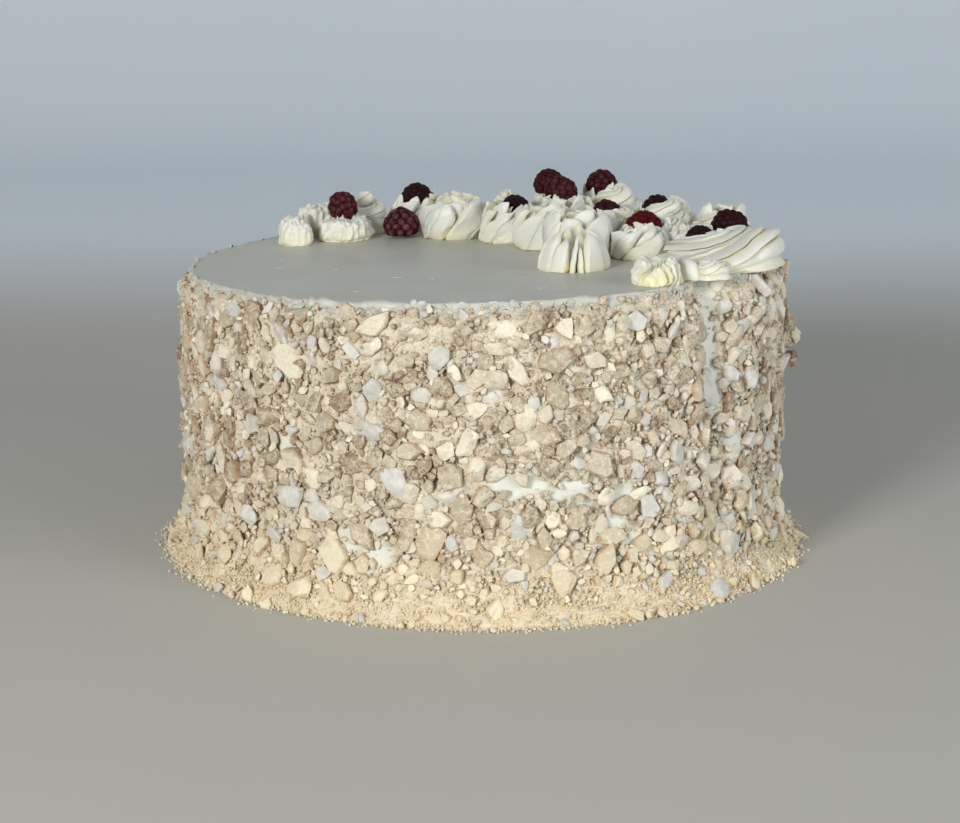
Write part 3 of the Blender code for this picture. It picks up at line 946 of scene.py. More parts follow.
@dataclass
class CakeSkin:
    """The cream top and the dusted wall under the crumbs.

    The wall lies its inset under the coat. The rim of the top stands up by its lip, and by its wisp
    more where it is torn. The nicks of the knife lie within ranges east and north and have a range of
    lengths, all in mm, and none lies past their reach, a share of the top's radius.
    """

    shape: CakeShape
    coating: Coating
    columns: int = 720
    foot_height: float = 12.0 * MM
    foot_rows: int = 16
    wall_top: float = 112.0 * MM
    torn_height: float = 105.0 * MM
    wall_rows: int = 78
    top_rings: int = 26
    rim_width: float = 7.0 * MM
    rim_rings: int = 12
    inset: float = 0.9 * MM
    lip: float = 0.55 * MM
    wisp: float = 1.3 * MM
    edge_width: float = 1.8 * MM
    foot_band: float = 3.0 * MM
    torn_band: float = 3.0 * MM
    nick_count: int = 16
    nick_east: tuple[float, float] = (-82.0, 70.0)
    nick_north: tuple[float, float] = (-98.0, 28.0)
    nick_length: tuple[float, float] = (1.2, 5.5)
    nick_reach: float = 0.9
    nick_seed: int = 23

    def build_wall(self, finish: Material) -> Piece:
        """Build the wall from the foot up to the rim, with a flat foot.

        Args:
            finish: The material.

        Returns:
            The mesh object.
        """
        reliefs = (Relief(3, 90, 15), Relief(4, 240, 38), Relief(5, 620, 92))
        angles = np.linspace(0.0, math.tau, self.columns, endpoint=False)
        foot = np.linspace(0.0, self.foot_height, self.foot_rows)
        wall = np.linspace(self.foot_height, self.wall_top, self.wall_rows + 1)[1:]
        angle, height = np.meshgrid(angles, np.concatenate([foot, wall]))
        turns, share_up = angle / math.tau, height / self.shape.top_height
        wide, middle, fine = (relief.at(turns, share_up) - 0.5 for relief in reliefs)
        bare = self.coating.bareness(angle, height)
        crags = 1.6 * wide + 1.7 * middle + 1.7 * fine
        smear = 1.2 * wide + 0.9 * (reliefs[1].at(turns * 0.4, share_up) - 0.5)
        torn = np.clip((height - self.torn_height) / self.torn_band, 0.0, 1.0)
        smear += torn * (2.2 * middle + 1.6 * fine)
        relief = MM * (crags * (1.0 - bare) + (smear - 0.25) * bare)
        relief *= np.clip(height / self.foot_band, 0.3, 1.0)
        points = self.shape.on_wall(angle, height, relief - self.inset).reshape(-1, 3)
        under = fan(np.arange(self.columns), len(points))[:, ::-1]
        faces = grid_faces(len(height), self.columns).tolist() + under.tolist()
        mesh = mesh_from("coat_dust", np.vstack([points, [[0.0, 0.0, 0.0]]]), faces)
        # deep: how far the crags sink, where the finish lays painted shade.
        deep = np.clip(-crags * 0.9 - 0.1, 0.0, 1.0) * np.clip(height / self.foot_height, 0.0, 1.0)
        # low: nearness to the foot, where the finish lays painted light.
        low = np.clip(1.0 - height / (1.6 * self.foot_height), 0.0, 1.0)
        tint = np.column_stack([bare.ravel(), deep.ravel(), low.ravel()])
        paint_tint(mesh, np.vstack([tint, [[0.0, 0.0, 1.0]]]))
        return show(mesh, finish, None)

    def rim_ring(self, share: float, angles: Points, torn: Points) -> Points:
        """One ring of the top near its torn rim.

        Args:
            share: 0 at the inner ring to 1 at the rim.
            angles: The angles of its corners.
            torn: How far the rim is torn up at each angle, 0 to 1.

        Returns:
            The corners, upright.
        """
        rim = self.shape.cream_radius + 0.8 * MM * torn
        near = max(0.0, share * self.rim_width - (self.rim_width - self.edge_width)) / self.edge_width
        radius = rim - (1.0 - share) * self.rim_width
        moved = radius + share ** 4 * self.shape.offset(angles, np.full_like(angles, self.shape.top_height))
        return polar(moved, angles, self.shape.top_height + near ** 2 * (self.lip * 0.5 + self.wisp * torn))

    def torn_share(self, angles: Points) -> Points:
        """How far the rim is torn up.

        Args:
            angles: The angles of its corners.

        Returns:
            0 where it lies smooth to about 1 where it is torn, and more at the wisps.
        """
        torn = np.clip(Relief(7, 300, 2).round_ring(angles) - 0.55, 0.0, 1.0) * 2.2
        torn *= Relief(8, 30, 2).round_ring(angles) ** 2 * 1.6
        shreds = 0.35 + Relief(11, 420, 2).round_ring(angles)
        for wisp in WISPS:
            around = wrap(angles - math.radians(wisp.degrees))
            rise = wisp.height * MM / self.wisp * self.shape.bump(around, math.radians(wisp.half_width))
            torn = torn + rise * shreds
        return torn

    def build_top(self, finish: Material) -> Piece:
        """Build the flat top with its thin, torn rim, which laps a little over the wall.

        Args:
            finish: The material.

        Returns:
            The mesh object.
        """
        angles = np.linspace(0.0, math.tau, self.columns, endpoint=False)
        torn = self.torn_share(angles)
        inner_radius = self.shape.cream_radius - self.rim_width
        inner = np.linspace(0.0, 1.0, self.top_rings + 1)[1:] * inner_radius
        rings = [polar(radius, angles, self.shape.top_height) for radius in inner]
        outer = np.linspace(0.0, 1.0, self.rim_rings + 1)[1:]
        rings += [self.rim_ring(share, angles, torn) for share in outer]
        edge = rings[-1]
        ragged, tatter = Relief(9, 180, 2).round_ring(angles), Relief(10, 320, 2).round_ring(angles)
        laps = ((0.4, 0.3, ragged), (1.1, 0.5, ragged), (2.2, 0.3, tatter), (3.6, -1.0, tatter))
        for drop, out, relief in laps:
            lower = edge.copy()
            grown = 1.0 + (out + 2.0 * (relief - 0.5)) * MM / self.shape.cream_radius
            lower[:, :2] *= grown[:, None]
            lower[:, 2] = self.shape.top_height - drop * MM * (0.5 + relief)
            rings.append(lower)
        points = self.shape.lean(np.vstack([*rings, [[0.0, 0.0, self.shape.top_height]]]))
        quads = grid_faces(len(rings), self.columns)[:, ::-1].tolist()
        cap = fan(np.arange(self.columns), len(points) - 1).tolist()
        return show(mesh_from("cream_top", points, quads + cap), finish, None)

    def build_nicks(self, finish: Material) -> Piece:
        """Scatter small lifted flakes of cream over the flat top, drawn out as the knife went.

        Args:
            finish: The material.

        Returns:
            The mesh object.
        """
        chance = np.random.default_rng(self.nick_seed)
        crusher = Crusher(self.nick_seed + 1)
        crowd = Crowd("knife_flakes")
        top = np.array(self.shape.top_matrix())
        for _ in range(self.nick_count):
            east = chance.uniform(*self.nick_east) * MM
            north = chance.uniform(*self.nick_north) * MM
            length = chance.uniform(*self.nick_length) * MM
            flake = crusher.plate(7, 0.4)
            scale = np.array([length, length * chance.uniform(0.10, 0.24), 0.22 * MM])
            spin = turn_about(2, chance.normal(0.1, 0.35))
            if math.hypot(east, north) > self.nick_reach * self.shape.cream_radius:
                continue
            points = (flake.points * scale) @ spin.T + np.array([east, north, 0.05 * MM])
            crowd.add(points @ top[:3, :3].T + top[:3, 3], flake.triangles, np.zeros((len(points), 3)))
        return crowd.object(finish, None)


@dataclass
class TornRim:
    """Shreds of cream that the knife tore along the rim of the top.

    Their widths and how far out of the wall they lie are ranges in mm, and their sway is in radians.
    """

    shape: CakeShape
    count: int = 620
    longest: float = 8.0 * MM
    shortest: float = 1.4 * MM
    highest: float = 0.4 * MM
    lowest: float = 3.8 * MM
    thickness: float = 0.9 * MM
    widths: tuple[float, float] = (1.4, 3.2)
    outward: tuple[float, float] = (-0.5, 0.25)
    sway: float = 0.45
    seed: int = 41

    def build(self, finish: Material) -> Piece:
        """Lay the shreds round the rim, the longer ones lying along it.

        Args:
            finish: The material.

        Returns:
            The mesh object.
        """
        chance = np.random.default_rng(self.seed)
        crusher = Crusher(self.seed + 1)
        templates = [crusher.plate(corners, 0.7) for corners in (6, 7, 8, 9) for _ in range(5)]
        crowd = Crowd("torn_rim")
        for number in range(self.count):
            template = templates[number % len(templates)]
            angle = chance.uniform(-math.pi, math.pi)
            length = self.shortest + (self.longest - self.shortest) * chance.random() ** 2.2
            height = self.shape.top_height - self.lowest * chance.random() ** 1.3 - self.highest
            scale = np.array([length, min(length, chance.uniform(*self.widths) * MM), self.thickness])
            lean, spin = (turn_about(axis, chance.normal(0.0, self.sway)) for axis in (0, 2))
            where = np.array([angle]), np.array([height])
            frame = self.shape.wall_frames(*where)[0] @ spin @ lean
            rim = self.shape.on_wall(*where, chance.uniform(*self.outward) * MM)[0]
            points = (template.points * scale) @ frame.T + rim
            crowd.add(points, template.triangles, np.zeros((len(points), 3)))
        return crowd.object(finish, math.radians(50.0))


class PieceKind(Enum):
    """The kinds of crushed meringue in the coat."""

    LUMP = "coat_lumps"
    SHARD = "coat_shards"
    CHIP = "coat_chips"
    CRUMB = "coat_crumbs"
    GRAIN = "coat_grains"
    SPILL = "foot_crumbs"


@dataclass(frozen=True)
class Template:
    """The corners and triangles of one small thing of unit size, and how near each is to its foot."""

    points: Points
    triangles: Points
    foot: Points


class Crusher:
    """Makes the shapes that crushed meringue breaks into, each about 1 wide."""

    def __init__(self, seed: int) -> None:
        """Seed its chances."""
        self.chance = np.random.default_rng(seed)

    def plate(self, corners: int, bevel: float) -> Template:
        """A broken shard with upright sides, cut slantwise across its top.

        Args:
            corners: How many corners its outline has.
            bevel: How far its upper edge is worn away, 0 to 1.

        Returns:
            The shard, 1 wide and 1 thick.
        """
        turns = (self.chance.uniform(-0.34, 0.34, corners) + np.arange(corners)) * math.tau / corners
        reach = self.chance.uniform(0.34, 0.60, corners)
        outline = np.stack([reach * np.cos(turns), reach * np.sin(turns)], axis=1)
        slope = self.chance.uniform(-0.45, 0.45, 2)
        levels = ((0.86, -0.6), (1.0, 0.24 - 0.2 * bevel), (0.97 - 0.28 * bevel, 0.5 - 0.08 * bevel))
        rings = []
        for share, height in levels:
            flat = outline * share * self.chance.uniform(0.96, 1.04, (corners, 1))
            rings.append(np.column_stack([flat, height + flat @ slope * (height > 0.0)]))
        middle = self.chance.uniform(-0.08, 0.08, 2)
        points = np.vstack([*rings, [[*middle, 0.52 + 0.05 * bevel + middle @ slope]]])
        sides = split_quads(grid_faces(len(levels), corners))
        cap = fan((len(levels) - 1) * corners + np.arange(corners), len(points) - 1)
        foot = np.concatenate([np.full(corners, 1.0), np.full(corners, 0.45), np.zeros(corners + 1)])
        return Template(points, np.vstack([sides, cap]), foot)

    def lump(self, detail: int, cut_depth: float) -> Template:
        """A crushed lump with broken flat sides.

        Args:
            detail: Subdivisions of the ball that it starts from.
            cut_depth: How near its middle the flat sides are cut, 1 for none.

        Returns:
            The lump, 1 wide.
        """
        points, triangles = ball(detail)
        for cut in unit(self.chance.normal(size=(13, 3))):
            depth = self.chance.uniform(cut_depth, cut_depth + 0.25)
            points = points - np.clip(points @ cut - depth, 0.0, None)[:, None] * cut * 0.95
        waves = self.chance.normal(size=(6, 3)) * np.array([[2.5], [2.5], [4.0], [6.0], [8.0], [10.0]])
        swells = np.array([0.06, 0.06, 0.04, 0.03, 0.022, 0.02])
        phases = self.chance.uniform(0.0, math.tau, 6)
        points = points * (1.0 + (np.sin(points @ waves.T + phases) * swells).sum(axis=1))[:, None]
        points *= self.chance.uniform(0.985, 1.015, (len(points), 1))
        return Template(points * 0.5, triangles, np.clip(0.3 - points[:, 2] * 1.5, 0.0, 1.0))

    def grain(self) -> Template:
        """A tiny grain of 8 sides.

        Returns:
            The grain, 1 wide.
        """
        axes = np.eye(3)
        points = np.array([axes[0], axes[1], -axes[0], -axes[1], axes[2], -axes[2]])
        points = points * self.chance.uniform(0.35, 0.6, (len(points), 1))
        around = np.arange(4)
        upper = fan(around, 4)
        lower = fan(around, 5)[:, [1, 0, 2]]
        return Template(points, np.vstack([upper, lower]), np.full(len(points), 0.25))

    def crumb(self) -> Template:
        """A small angular crumb of 20 sides.

        Returns:
            The crumb, 1 wide.
        """
        points, triangles = ball(0)
        points = points * self.chance.uniform(0.6, 1.15, (len(points), 1)) * 0.5
        return Template(points, triangles, np.full(len(points), 0.25))


def ball(detail: int) -> tuple[Points, Points]:
    """A ball of radius 1 made of near-equal triangles.

    Args:
        detail: How often its 20 faces are divided.

    Returns:
        Its corners and triangles.
    """
    maker = bmesh.new()
    bmesh.ops.create_icosphere(maker, subdivisions=detail + 1, radius=1.0)
    points = np.array([vertex.co[:] for vertex in maker.verts])
    triangles = np.array([[vertex.index for vertex in face.verts] for face in maker.faces])
    maker.free()
    return points, triangles


class WallMap:
    """Which pieces lie where on the unrolled wall, for finding free places."""

    cell: float = 8.0 * MM

    def __init__(self, radius: float) -> None:
        """Start with an empty wall.

        Args:
            radius: The radius that it is unrolled at.
        """
        self.radius = radius
        self.length = math.tau * radius
        self.columns = int(self.length / self.cell)
        self.cells: dict[tuple[int, int], list[Triple]] = {}

    def key(self, around: float, height: float) -> tuple[int, int]:
        """The cell of a place."""
        return int(around / self.length * self.columns) % self.columns, int(height / self.cell)

    def add(self, angle: float, height: float, size: float) -> None:
        """Note that a piece lies at a place."""
        around = angle % math.tau * self.radius
        self.cells.setdefault(self.key(around, height), []).append((around, height, size))

    def is_free(self, angle: float, height: float, size: float, share: float) -> bool:
        """Whether a piece would lie clear of the others.

        Args:
            angle: Its angle round the wall.
            height: Its height.
            size: Its width.
            share: The part of the two half widths that has to stay clear.

        Returns:
            True if it would.
        """
        around = angle % math.tau * self.radius
        column, row = self.key(around, height)
        for across in range(column - 2, column + 3):
            for up in range(row - 2, row + 3):
                for other in self.cells.get((across % self.columns, up), ()):
                    gap = abs(around - other[0])
                    gap = min(gap, self.length - gap)
                    if math.hypot(gap, height - other[1]) < share * 0.5 * (size + other[2]):
                        return False
        return True


@dataclass(frozen=True)
class Batch:
    """A kind of piece to scatter over the wall.

    Attributes:
        kind: The kind.
        count: How many pieces.
        largest: The width of the largest one.
        smallest: The width of the smallest one.
        clear: The part of two half widths that stays clear between pieces.
        thickness: Least and most thickness, as shares of the width.
        tilt: How far a piece may tilt off the wall, in radians.
        outward: Least and most distance of its middle from the wall.
        toasted: The share of toasted pieces.
        chilled: The share of pale grey ones.
        foot_share: The share of pieces that lie on the skirt.
        lowest: The height under which only a few lie.
        beige: How far the tones reach from pale to beige.
    """

    kind: PieceKind
    count: int
    largest: float
    smallest: float
    clear: float
    thickness: tuple[float, float]
    tilt: float
    outward: tuple[float, float]
    toasted: float = 0.2
    chilled: float = 0.14
    foot_share: float = 0.0
    lowest: float = 0.0
    beige: float = 1.0


@dataclass
class Layout:
    """Where the pieces of a kind lie, with one entry in each list for each piece."""

    angles: list[float] = field(default_factory=list)
    heights: list[float] = field(default_factory=list)
    scales: list[Triple] = field(default_factory=list)
    tilts: list[Triple] = field(default_factory=list)
    outwards: list[float] = field(default_factory=list)
    tints: list[tuple[float, float]] = field(default_factory=list)


@dataclass
class CrumbCoat:
    """The crushed meringue on the wall, one mesh for each kind of piece.

    Its clump is the angle, height and size of the lump that stands out at the side. A few of the large
    pieces lie low, and those over the mapped size keep others off. Its pale side, a middle angle and a
    half width, has fewer toasted pieces. The widths of the spilt crumbs are ranges in mm.
    """

    shape: CakeShape
    coating: Coating
    seed: int = 71
    lump_seed: int = 11
    lump_count: int = 124
    largest_lump: float = 22.0 * MM
    smallest_lump: float = 9.0 * MM
    clump: Triple = (math.radians(-2.0), 81.0 * MM, 20.0 * MM)
    clump_parts: int = 9
    thickest_lump: float = 8.5 * MM
    lump_gap: float = 0.56
    lump_tries: int = 90
    spill_count: int = 2600
    spill_width: float = 2.4 * MM
    spill_reach: float = 3.2
    spill_sizes: tuple[float, float] = (0.5, 1.5)
    large_spill_sizes: tuple[float, float] = (2.0, 4.5)
    one_large_in: int = 40
    tries: int = 8
    few: float = 0.12
    mapped: float = 2.0 * MM
    pale_side: tuple[float, float] = (math.radians(-32.0), math.radians(34.0))

    def __post_init__(self) -> None:
        """Make the shapes that the pieces are drawn from."""
        crusher = Crusher(self.seed)
        slabs, worn = (
            [crusher.plate(corners, bevel) for corners in outlines for bevel in bevels for _ in range(copies)]
            for outlines, bevels, copies in (((5, 6, 7), (0.2, 0.5), 4), ((8, 10), (0.6, 0.9), 6))
        )
        knobs = [crusher.lump(1, 0.55) for _ in range(16)]
        self.templates = {
            PieceKind.LUMP: [crusher.lump(3, 0.45) for _ in range(18)],
            PieceKind.SHARD: slabs + worn + [crusher.lump(2, 0.5) for _ in range(8)],
            PieceKind.CHIP: slabs + knobs[:6],
            PieceKind.CRUMB: [crusher.crumb() for _ in range(24)],
            PieceKind.GRAIN: [crusher.grain() for _ in range(16)],
            PieceKind.SPILL: [crusher.crumb() for _ in range(12)],
        }
        self.chance = np.random.default_rng(self.seed + 1)
        self.map = WallMap(self.shape.coat_radius)

    def lump_places(self) -> list[Triple]:
        """Places of the large lumps, where the solid has them.

        Returns:
            The angle, height and size of each.
        """
        chance = random.Random(self.lump_seed)
        places = [self.clump]
        tries = 0
        while len(places) < self.lump_count and tries < self.lump_tries * self.lump_count:
            tries += 1
            share = len(places) / self.lump_count
            size = self.largest_lump * (self.smallest_lump / self.largest_lump) ** (share ** 0.3)
            angle = chance.uniform(-math.pi, math.pi)
            height = chance.uniform(0.5 * size, self.shape.coat_top - 0.35 * size)
            cleft = math.exp(-(((angle - self.shape.cleft_angle) / self.shape.cleft_half_width) ** 2))
            if cleft > 0.45 and height > 0.3 * self.shape.top_height:
                continue
            if all(self.far_enough(angle, height, size, other) for other in places):
                places.append((angle, height, size))
        return places

    def far_enough(self, angle: float, height: float, size: float, other: Triple) -> bool:
        """Whether a lump keeps clear of another large one.

        Args:
            angle: Its angle round the wall.
            height: Its height.
            size: Its width.
            other: The angle, height and width of the other one.

        Returns:
            True if it does.
        """
        distance = math.hypot(wrap(angle - other[0]) * self.shape.coat_radius, height - other[1])
        return distance > self.lump_gap * (size + other[2])

    def tint(self, toasted: float, chilled: float) -> tuple[float, float]:
        """Draw the looks of one piece.

        Args:
            toasted: The chance that it is toasted.
            chilled: The chance that it is pale grey.

        Returns:
            Its tone, and its baking: over a half for toast, under it for chill.
        """
        draw = self.chance.random()
        tone = self.chance.random()
        if draw < toasted:
            return 0.5 + 0.5 * tone, self.chance.uniform(0.72, 1.0)
        if draw < toasted + chilled:
            return tone, self.chance.uniform(0.0, 0.25)
        return tone, self.chance.uniform(0.45, 0.66)

    def put(self, layout: Layout, batch: Batch, angle: float, height: float, size: float) -> None:
        """Draw how one piece lies and add it to a layout.

        Args:
            layout: The layout that takes it.
            batch: What kind of piece it is.
            angle: Its angle round the wall.
            height: Its height.
            size: Its width.
        """
        chance = self.chance
        thickness = size * chance.uniform(*batch.thickness)
        layout.angles.append(angle)
        layout.heights.append(height)
        layout.scales.append((size * chance.uniform(0.95, 1.4), size * chance.uniform(0.75, 1.0), thickness))
        layout.tilts.append((*chance.uniform(-batch.tilt, batch.tilt, 2), chance.uniform(-math.pi, math.pi)))
        layout.outwards.append(chance.uniform(*batch.outward))
        paler = math.exp(-(((angle - self.pale_side[0]) / self.pale_side[1]) ** 2))
        tone, baked = self.tint(batch.toasted * (1.0 - 0.6 * paler), batch.chilled * (1.0 + 1.6 * paler))
        layout.tints.append((tone * batch.beige, baked))

    def lay(self, layout: Layout, kind: PieceKind) -> Crowd:
        """Lay the pieces of a layout on the wall.

        Args:
            layout: Where they lie.
            kind: The kind of piece.

        Returns:
            The crowd of them.
        """
        angles, heights = np.array(layout.angles), np.array(layout.heights)
        tilts, tints, scales = np.array(layout.tilts), np.array(layout.tints), np.array(layout.scales)
        turns = turns_about(0, tilts[:, 0]) @ turns_about(1, tilts[:, 1]) @ turns_about(2, tilts[:, 2])
        turns = self.shape.wall_frames(angles, heights) @ turns
        places = self.shape.on_wall(angles, heights, np.array(layout.outwards))
        templates = self.templates[kind]
        choice = self.chance.integers(len(templates), size=len(angles))
        crowd = Crowd(kind.value)
        for number, template in enumerate(templates):
            chosen = np.flatnonzero(choice == number)
            shaped = template.points[None] * scales[chosen][:, None]
            points = shaped @ turns[chosen].transpose(0, 2, 1) + places[chosen][:, None]
            points[..., 2] = np.maximum(points[..., 2], 0.0)
            feet = np.broadcast_to(template.foot[None, :, None], (len(chosen), len(template.foot), 1))
            own = np.broadcast_to(tints[chosen][:, None], (len(chosen), len(template.foot), 2))
            crowd.add_all(points, template.triangles, np.concatenate([own, feet], axis=-1))
        return crowd

    def build_lumps(self, finish: Material) -> Piece:
        """Lay the large lumps, and the clump that stands out at the side.

        Args:
            finish: The material.

        Returns:
            The mesh object of all of them.
        """
        layout = Layout()
        kind = PieceKind.LUMP
        batch = Batch(kind, self.lump_count, self.largest_lump, self.smallest_lump, 1.0, (0.45, 0.62),
                      0.28, (-0.2 * MM, 0.9 * MM), 0.5, 0.08)
        knobs = Batch(kind, self.clump_parts, 10.0 * MM, 6.0 * MM, 1.0, (0.7, 1.0),
                      1.2, (1.0 * MM, 5.5 * MM), 0.7, 0.0)
        for angle, height, size in self.lump_places():
            self.map.add(angle, height, 0.86 * size)
            if size == self.clump[2]:
                for _ in range(self.clump_parts):
                    aside, above = self.chance.normal(0.0, 0.25 * size, 2)
                    width = self.chance.uniform(knobs.smallest, knobs.largest)
                    self.put(layout, knobs, angle + aside / self.shape.coat_radius, height + above, width)
            self.put(layout, batch, angle, height, 0.9 * size)
        layout.scales = [(long, wide, min(thick, self.thickest_lump)) for long, wide, thick in layout.scales]
        return self.lay(layout, kind).object(finish, None)

    def scatter(self, batch: Batch, finish: Material) -> Piece:
        """Scatter one kind of piece, the largest first.

        Args:
            batch: What to scatter.
            finish: The material.

        Returns:
            The mesh object of all of them.
        """
        tries = batch.count * self.tries
        angles = self.chance.uniform(-math.pi, math.pi, tries)
        heights = self.chance.uniform(0.0, self.shape.top_height, tries)
        low = self.chance.random(tries) < batch.foot_share
        heights[low] = self.chance.triangular(0.0, 0.0, 1.1 * self.shape.skirt_height, int(low.sum()))
        kept = self.chance.random(tries) > 0.94 * self.coating.bareness(angles, heights)
        high = heights > batch.lowest * self.chance.uniform(0.6, 1.2, tries)
        kept &= high | (self.chance.random(tries) < self.few)
        layout = Layout()
        for angle, height in zip(angles[kept].tolist(), heights[kept].tolist()):
            share = len(layout.angles) / batch.count
            size = batch.largest * (batch.smallest / batch.largest) ** math.sqrt(share)
            if height > self.shape.top_height - 0.45 * size:
                continue
            if not self.map.is_free(angle, height, size, batch.clear):
                continue
            if size > self.mapped:
                self.map.add(angle, height, size)
            self.put(layout, batch, angle, height, size)
            if len(layout.angles) == batch.count:
                break
        LOG.info("%s: %d laid", batch.kind.value, len(layout.angles))
        return self.lay(layout, batch.kind).object(finish, math.radians(40.0))

    def build_spill(self, finish: Material) -> Piece:
        """Scatter loose crumbs round the foot.

        Args:
            finish: The material.

        Returns:
            The mesh object of all of them.
        """
        crowd = Crowd(PieceKind.SPILL.value)
        templates = self.templates[PieceKind.SPILL]
        for number in range(self.spill_count):
            angle = self.chance.uniform(-math.pi, math.pi)
            out = min(abs(self.chance.normal(0.0, self.spill_width)), self.spill_reach * self.spill_width)
            size = self.chance.uniform(*self.spill_sizes) * MM
            if number % self.one_large_in == 0:
                size = self.chance.uniform(*self.large_spill_sizes) * MM
            template = templates[number % len(templates)]
            points = template.points * size * self.chance.uniform(0.7, 1.1, 3)
            points += polar(self.shape.skirt_radius - 2.0 * MM + out, angle, 0.0)
            points[:, 2] -= points[:, 2].min()
            tint = np.tile([*self.tint(0.1, 0.15), 0.1], (len(points), 1))
            crowd.add(points, template.triangles, tint)
        return crowd.object(finish, math.radians(30.0))

    def build(self, finish: Material) -> list[Piece]:
        """Lay every kind of piece.

        Args:
            finish: The material.

        Returns:
            The mesh object of each kind.
        """
        batches = (
            Batch(PieceKind.SHARD, 1150, 14.0 * MM, 4.6 * MM, 0.66, (0.24, 0.42), 0.34, (-0.9 * MM, 0.9 * MM),
                  lowest=17.0 * MM),
            Batch(PieceKind.CHIP, 3900, 5.0 * MM, 2.1 * MM, 0.6, (0.35, 0.7), 0.7, (-0.8 * MM, 0.8 * MM),
                  lowest=11.0 * MM),
            Batch(PieceKind.CRUMB, 9400, 2.3 * MM, 1.1 * MM, 0.5, (0.6, 1.0), 3.0, (-1.2 * MM, 0.2 * MM),
                  0.1, 0.03, 0.22, beige=0.5),
            Batch(PieceKind.GRAIN, 22000, 1.4 * MM, 0.7 * MM, 0.42, (0.7, 1.0), 3.0, (-0.9 * MM, 0.1 * MM),
                  0.08, 0.02, 0.24, beige=0.3),
        )
        lumps = self.build_lumps(finish)
        return [lumps, *(self.scatter(batch, finish) for batch in batches), self.build_spill(finish)]


class Piping(Enum):
    """How a swirl was piped."""

    STAR = "star"
    TULIP = "tulip"
    BUTTON = "button"
    FRILL = "frill"
    COIL = "coil"
    CURL = "curl"
    NEST = "nest"


@dataclass(frozen=True)
class Swirl:
    """One piped swirl: its place on the top in mm, its size, and how its ridges wind.

    Its start is how far it is turned from where its number turns it, in degrees, and its tilt is how
    much higher its right side stands, as a share of its height.
    """

    east: float
    north: float
    radius: float
    height: float
    ridges: int
    winding: float
    piping: Piping
    start: float = 0.0
    tilt: float = 0.0


SWIRLS = (
    Swirl(-77.0, 49.0, 7.2, 10.0, 15, 15.0, Piping.BUTTON),
    Swirl(-57.5, 61.0, 11.2, 9.8, 19, 12.0, Piping.BUTTON),
    Swirl(-12.0, 60.0, 13.0, 16.5, 7, 72.0, Piping.STAR),
    Swirl(11.0, 43.0, 11.4, 15.5, 7, 66.0, Piping.STAR),
    Swirl(26.0, 22.0, 13.2, 18.0, 8, 72.0, Piping.STAR),
    Swirl(37.0, -7.0, 12.9, 19.0, 8, 60.0, Piping.STAR),
    Swirl(34.5, -37.5, 13.0, 14.0, 9, 5.0, Piping.TULIP, 101.0),
    Swirl(61.0, -12.5, 10.9, 11.5, 7, 64.0, Piping.STAR),
    Swirl(89.0, -38.0, 26.0, 14.8, 8, 28.0, Piping.COIL, -138.0, 0.22),
    Swirl(63.0, -79.0, 9.2, 10.2, 24, 12.0, Piping.FRILL),
    Swirl(84.0, -71.0, 7.4, 8.0, 5, 50.0, Piping.CURL, 60.0),
    Swirl(95.0, 6.0, 14.0, 18.0, 7, 44.0, Piping.COIL),
    Swirl(74.0, 32.0, 12.5, 19.0, 7, 44.0, Piping.COIL),
    Swirl(57.0, 68.0, 15.0, 21.0, 6, 36.0, Piping.COIL),
    Swirl(33.0, 80.0, 11.0, 15.0, 8, 60.0, Piping.STAR),
    Swirl(11.0, 87.0, 10.6, 17.0, 6, 44.0, Piping.COIL),
    Swirl(-8.6, 90.5, 8.9, 14.0, 7, 60.0, Piping.STAR),
    Swirl(-28.5, 88.0, 10.0, 13.5, 8, 60.0, Piping.STAR),
    Swirl(-48.8, 82.0, 10.8, 20.5, 5, 30.0, Piping.COIL, 40.0),
    Swirl(-70.0, 76.5, 8.3, 12.0, 15, 25.0, Piping.BUTTON),
    Swirl(-79.0, 63.5, 6.4, 10.5, 6, 50.0, Piping.STAR),
    Swirl(34.0, 52.0, 11.4, 16.0, 8, 66.0, Piping.STAR),
    Swirl(52.0, 38.0, 9.4, 12.5, 7, 60.0, Piping.STAR),
    Swirl(51.0, 14.0, 11.2, 14.0, 8, 66.0, Piping.STAR),
    Swirl(10.0, 66.0, 9.2, 15.0, 7, 60.0, Piping.STAR),
    Swirl(80.0, 55.0, 10.4, 16.0, 6, 44.0, Piping.COIL),
    Swirl(97.0, 30.0, 9.3, 14.5, 7, 60.0, Piping.STAR),
    Swirl(73.0, 9.5, 7.6, 13.0, 6, 60.0, Piping.STAR),
    Swirl(77.5, -6.0, 6.3, 11.0, 6, 60.0, Piping.STAR),
)


@dataclass(frozen=True)
class Petal:
    """How a petal of cream runs from foot to tip, in shares of the swirl's radius or height.

    Attributes:
        reach: Its distance from the middle.
        rise: Its height.
        width: Its half width.
        depth: Its half depth.
        skew: How far its crest lies to one side, -1 to 1.
        slim: How wide every other petal is, as a share of the ones between.
    """

    reach: tuple[float, ...]
    rise: tuple[float, ...]
    width: tuple[float, ...]
    depth: tuple[float, ...]
    skew: float = 0.35
    slim: float = 1.0


PETALS = {
    Piping.STAR: Petal((0.54, 0.74, 0.84, 0.84, 0.80, 0.76), (0.0, 0.10, 0.38, 0.70, 0.90, 0.98),
                       (0.34, 0.44, 0.47, 0.40, 0.24, 0.04), (0.26, 0.27, 0.22, 0.17, 0.11, 0.03)),
    Piping.TULIP: Petal((0.69, 0.77, 0.80, 0.75, 0.64, 0.53), (0.0, 0.08, 0.38, 0.70, 0.90, 1.04),
                        (0.27, 0.32, 0.32, 0.26, 0.17, 0.04), (0.24, 0.24, 0.21, 0.17, 0.12, 0.04), 0.5),
    Piping.NEST: Petal((0.66, 0.90, 1.02, 1.06, 1.04, 1.00), (0.0, 0.12, 0.42, 0.74, 0.95, 1.04),
                       (0.36, 0.44, 0.46, 0.40, 0.26, 0.06), (0.20, 0.20, 0.17, 0.13, 0.09, 0.03), 0.3, 0.6),
}

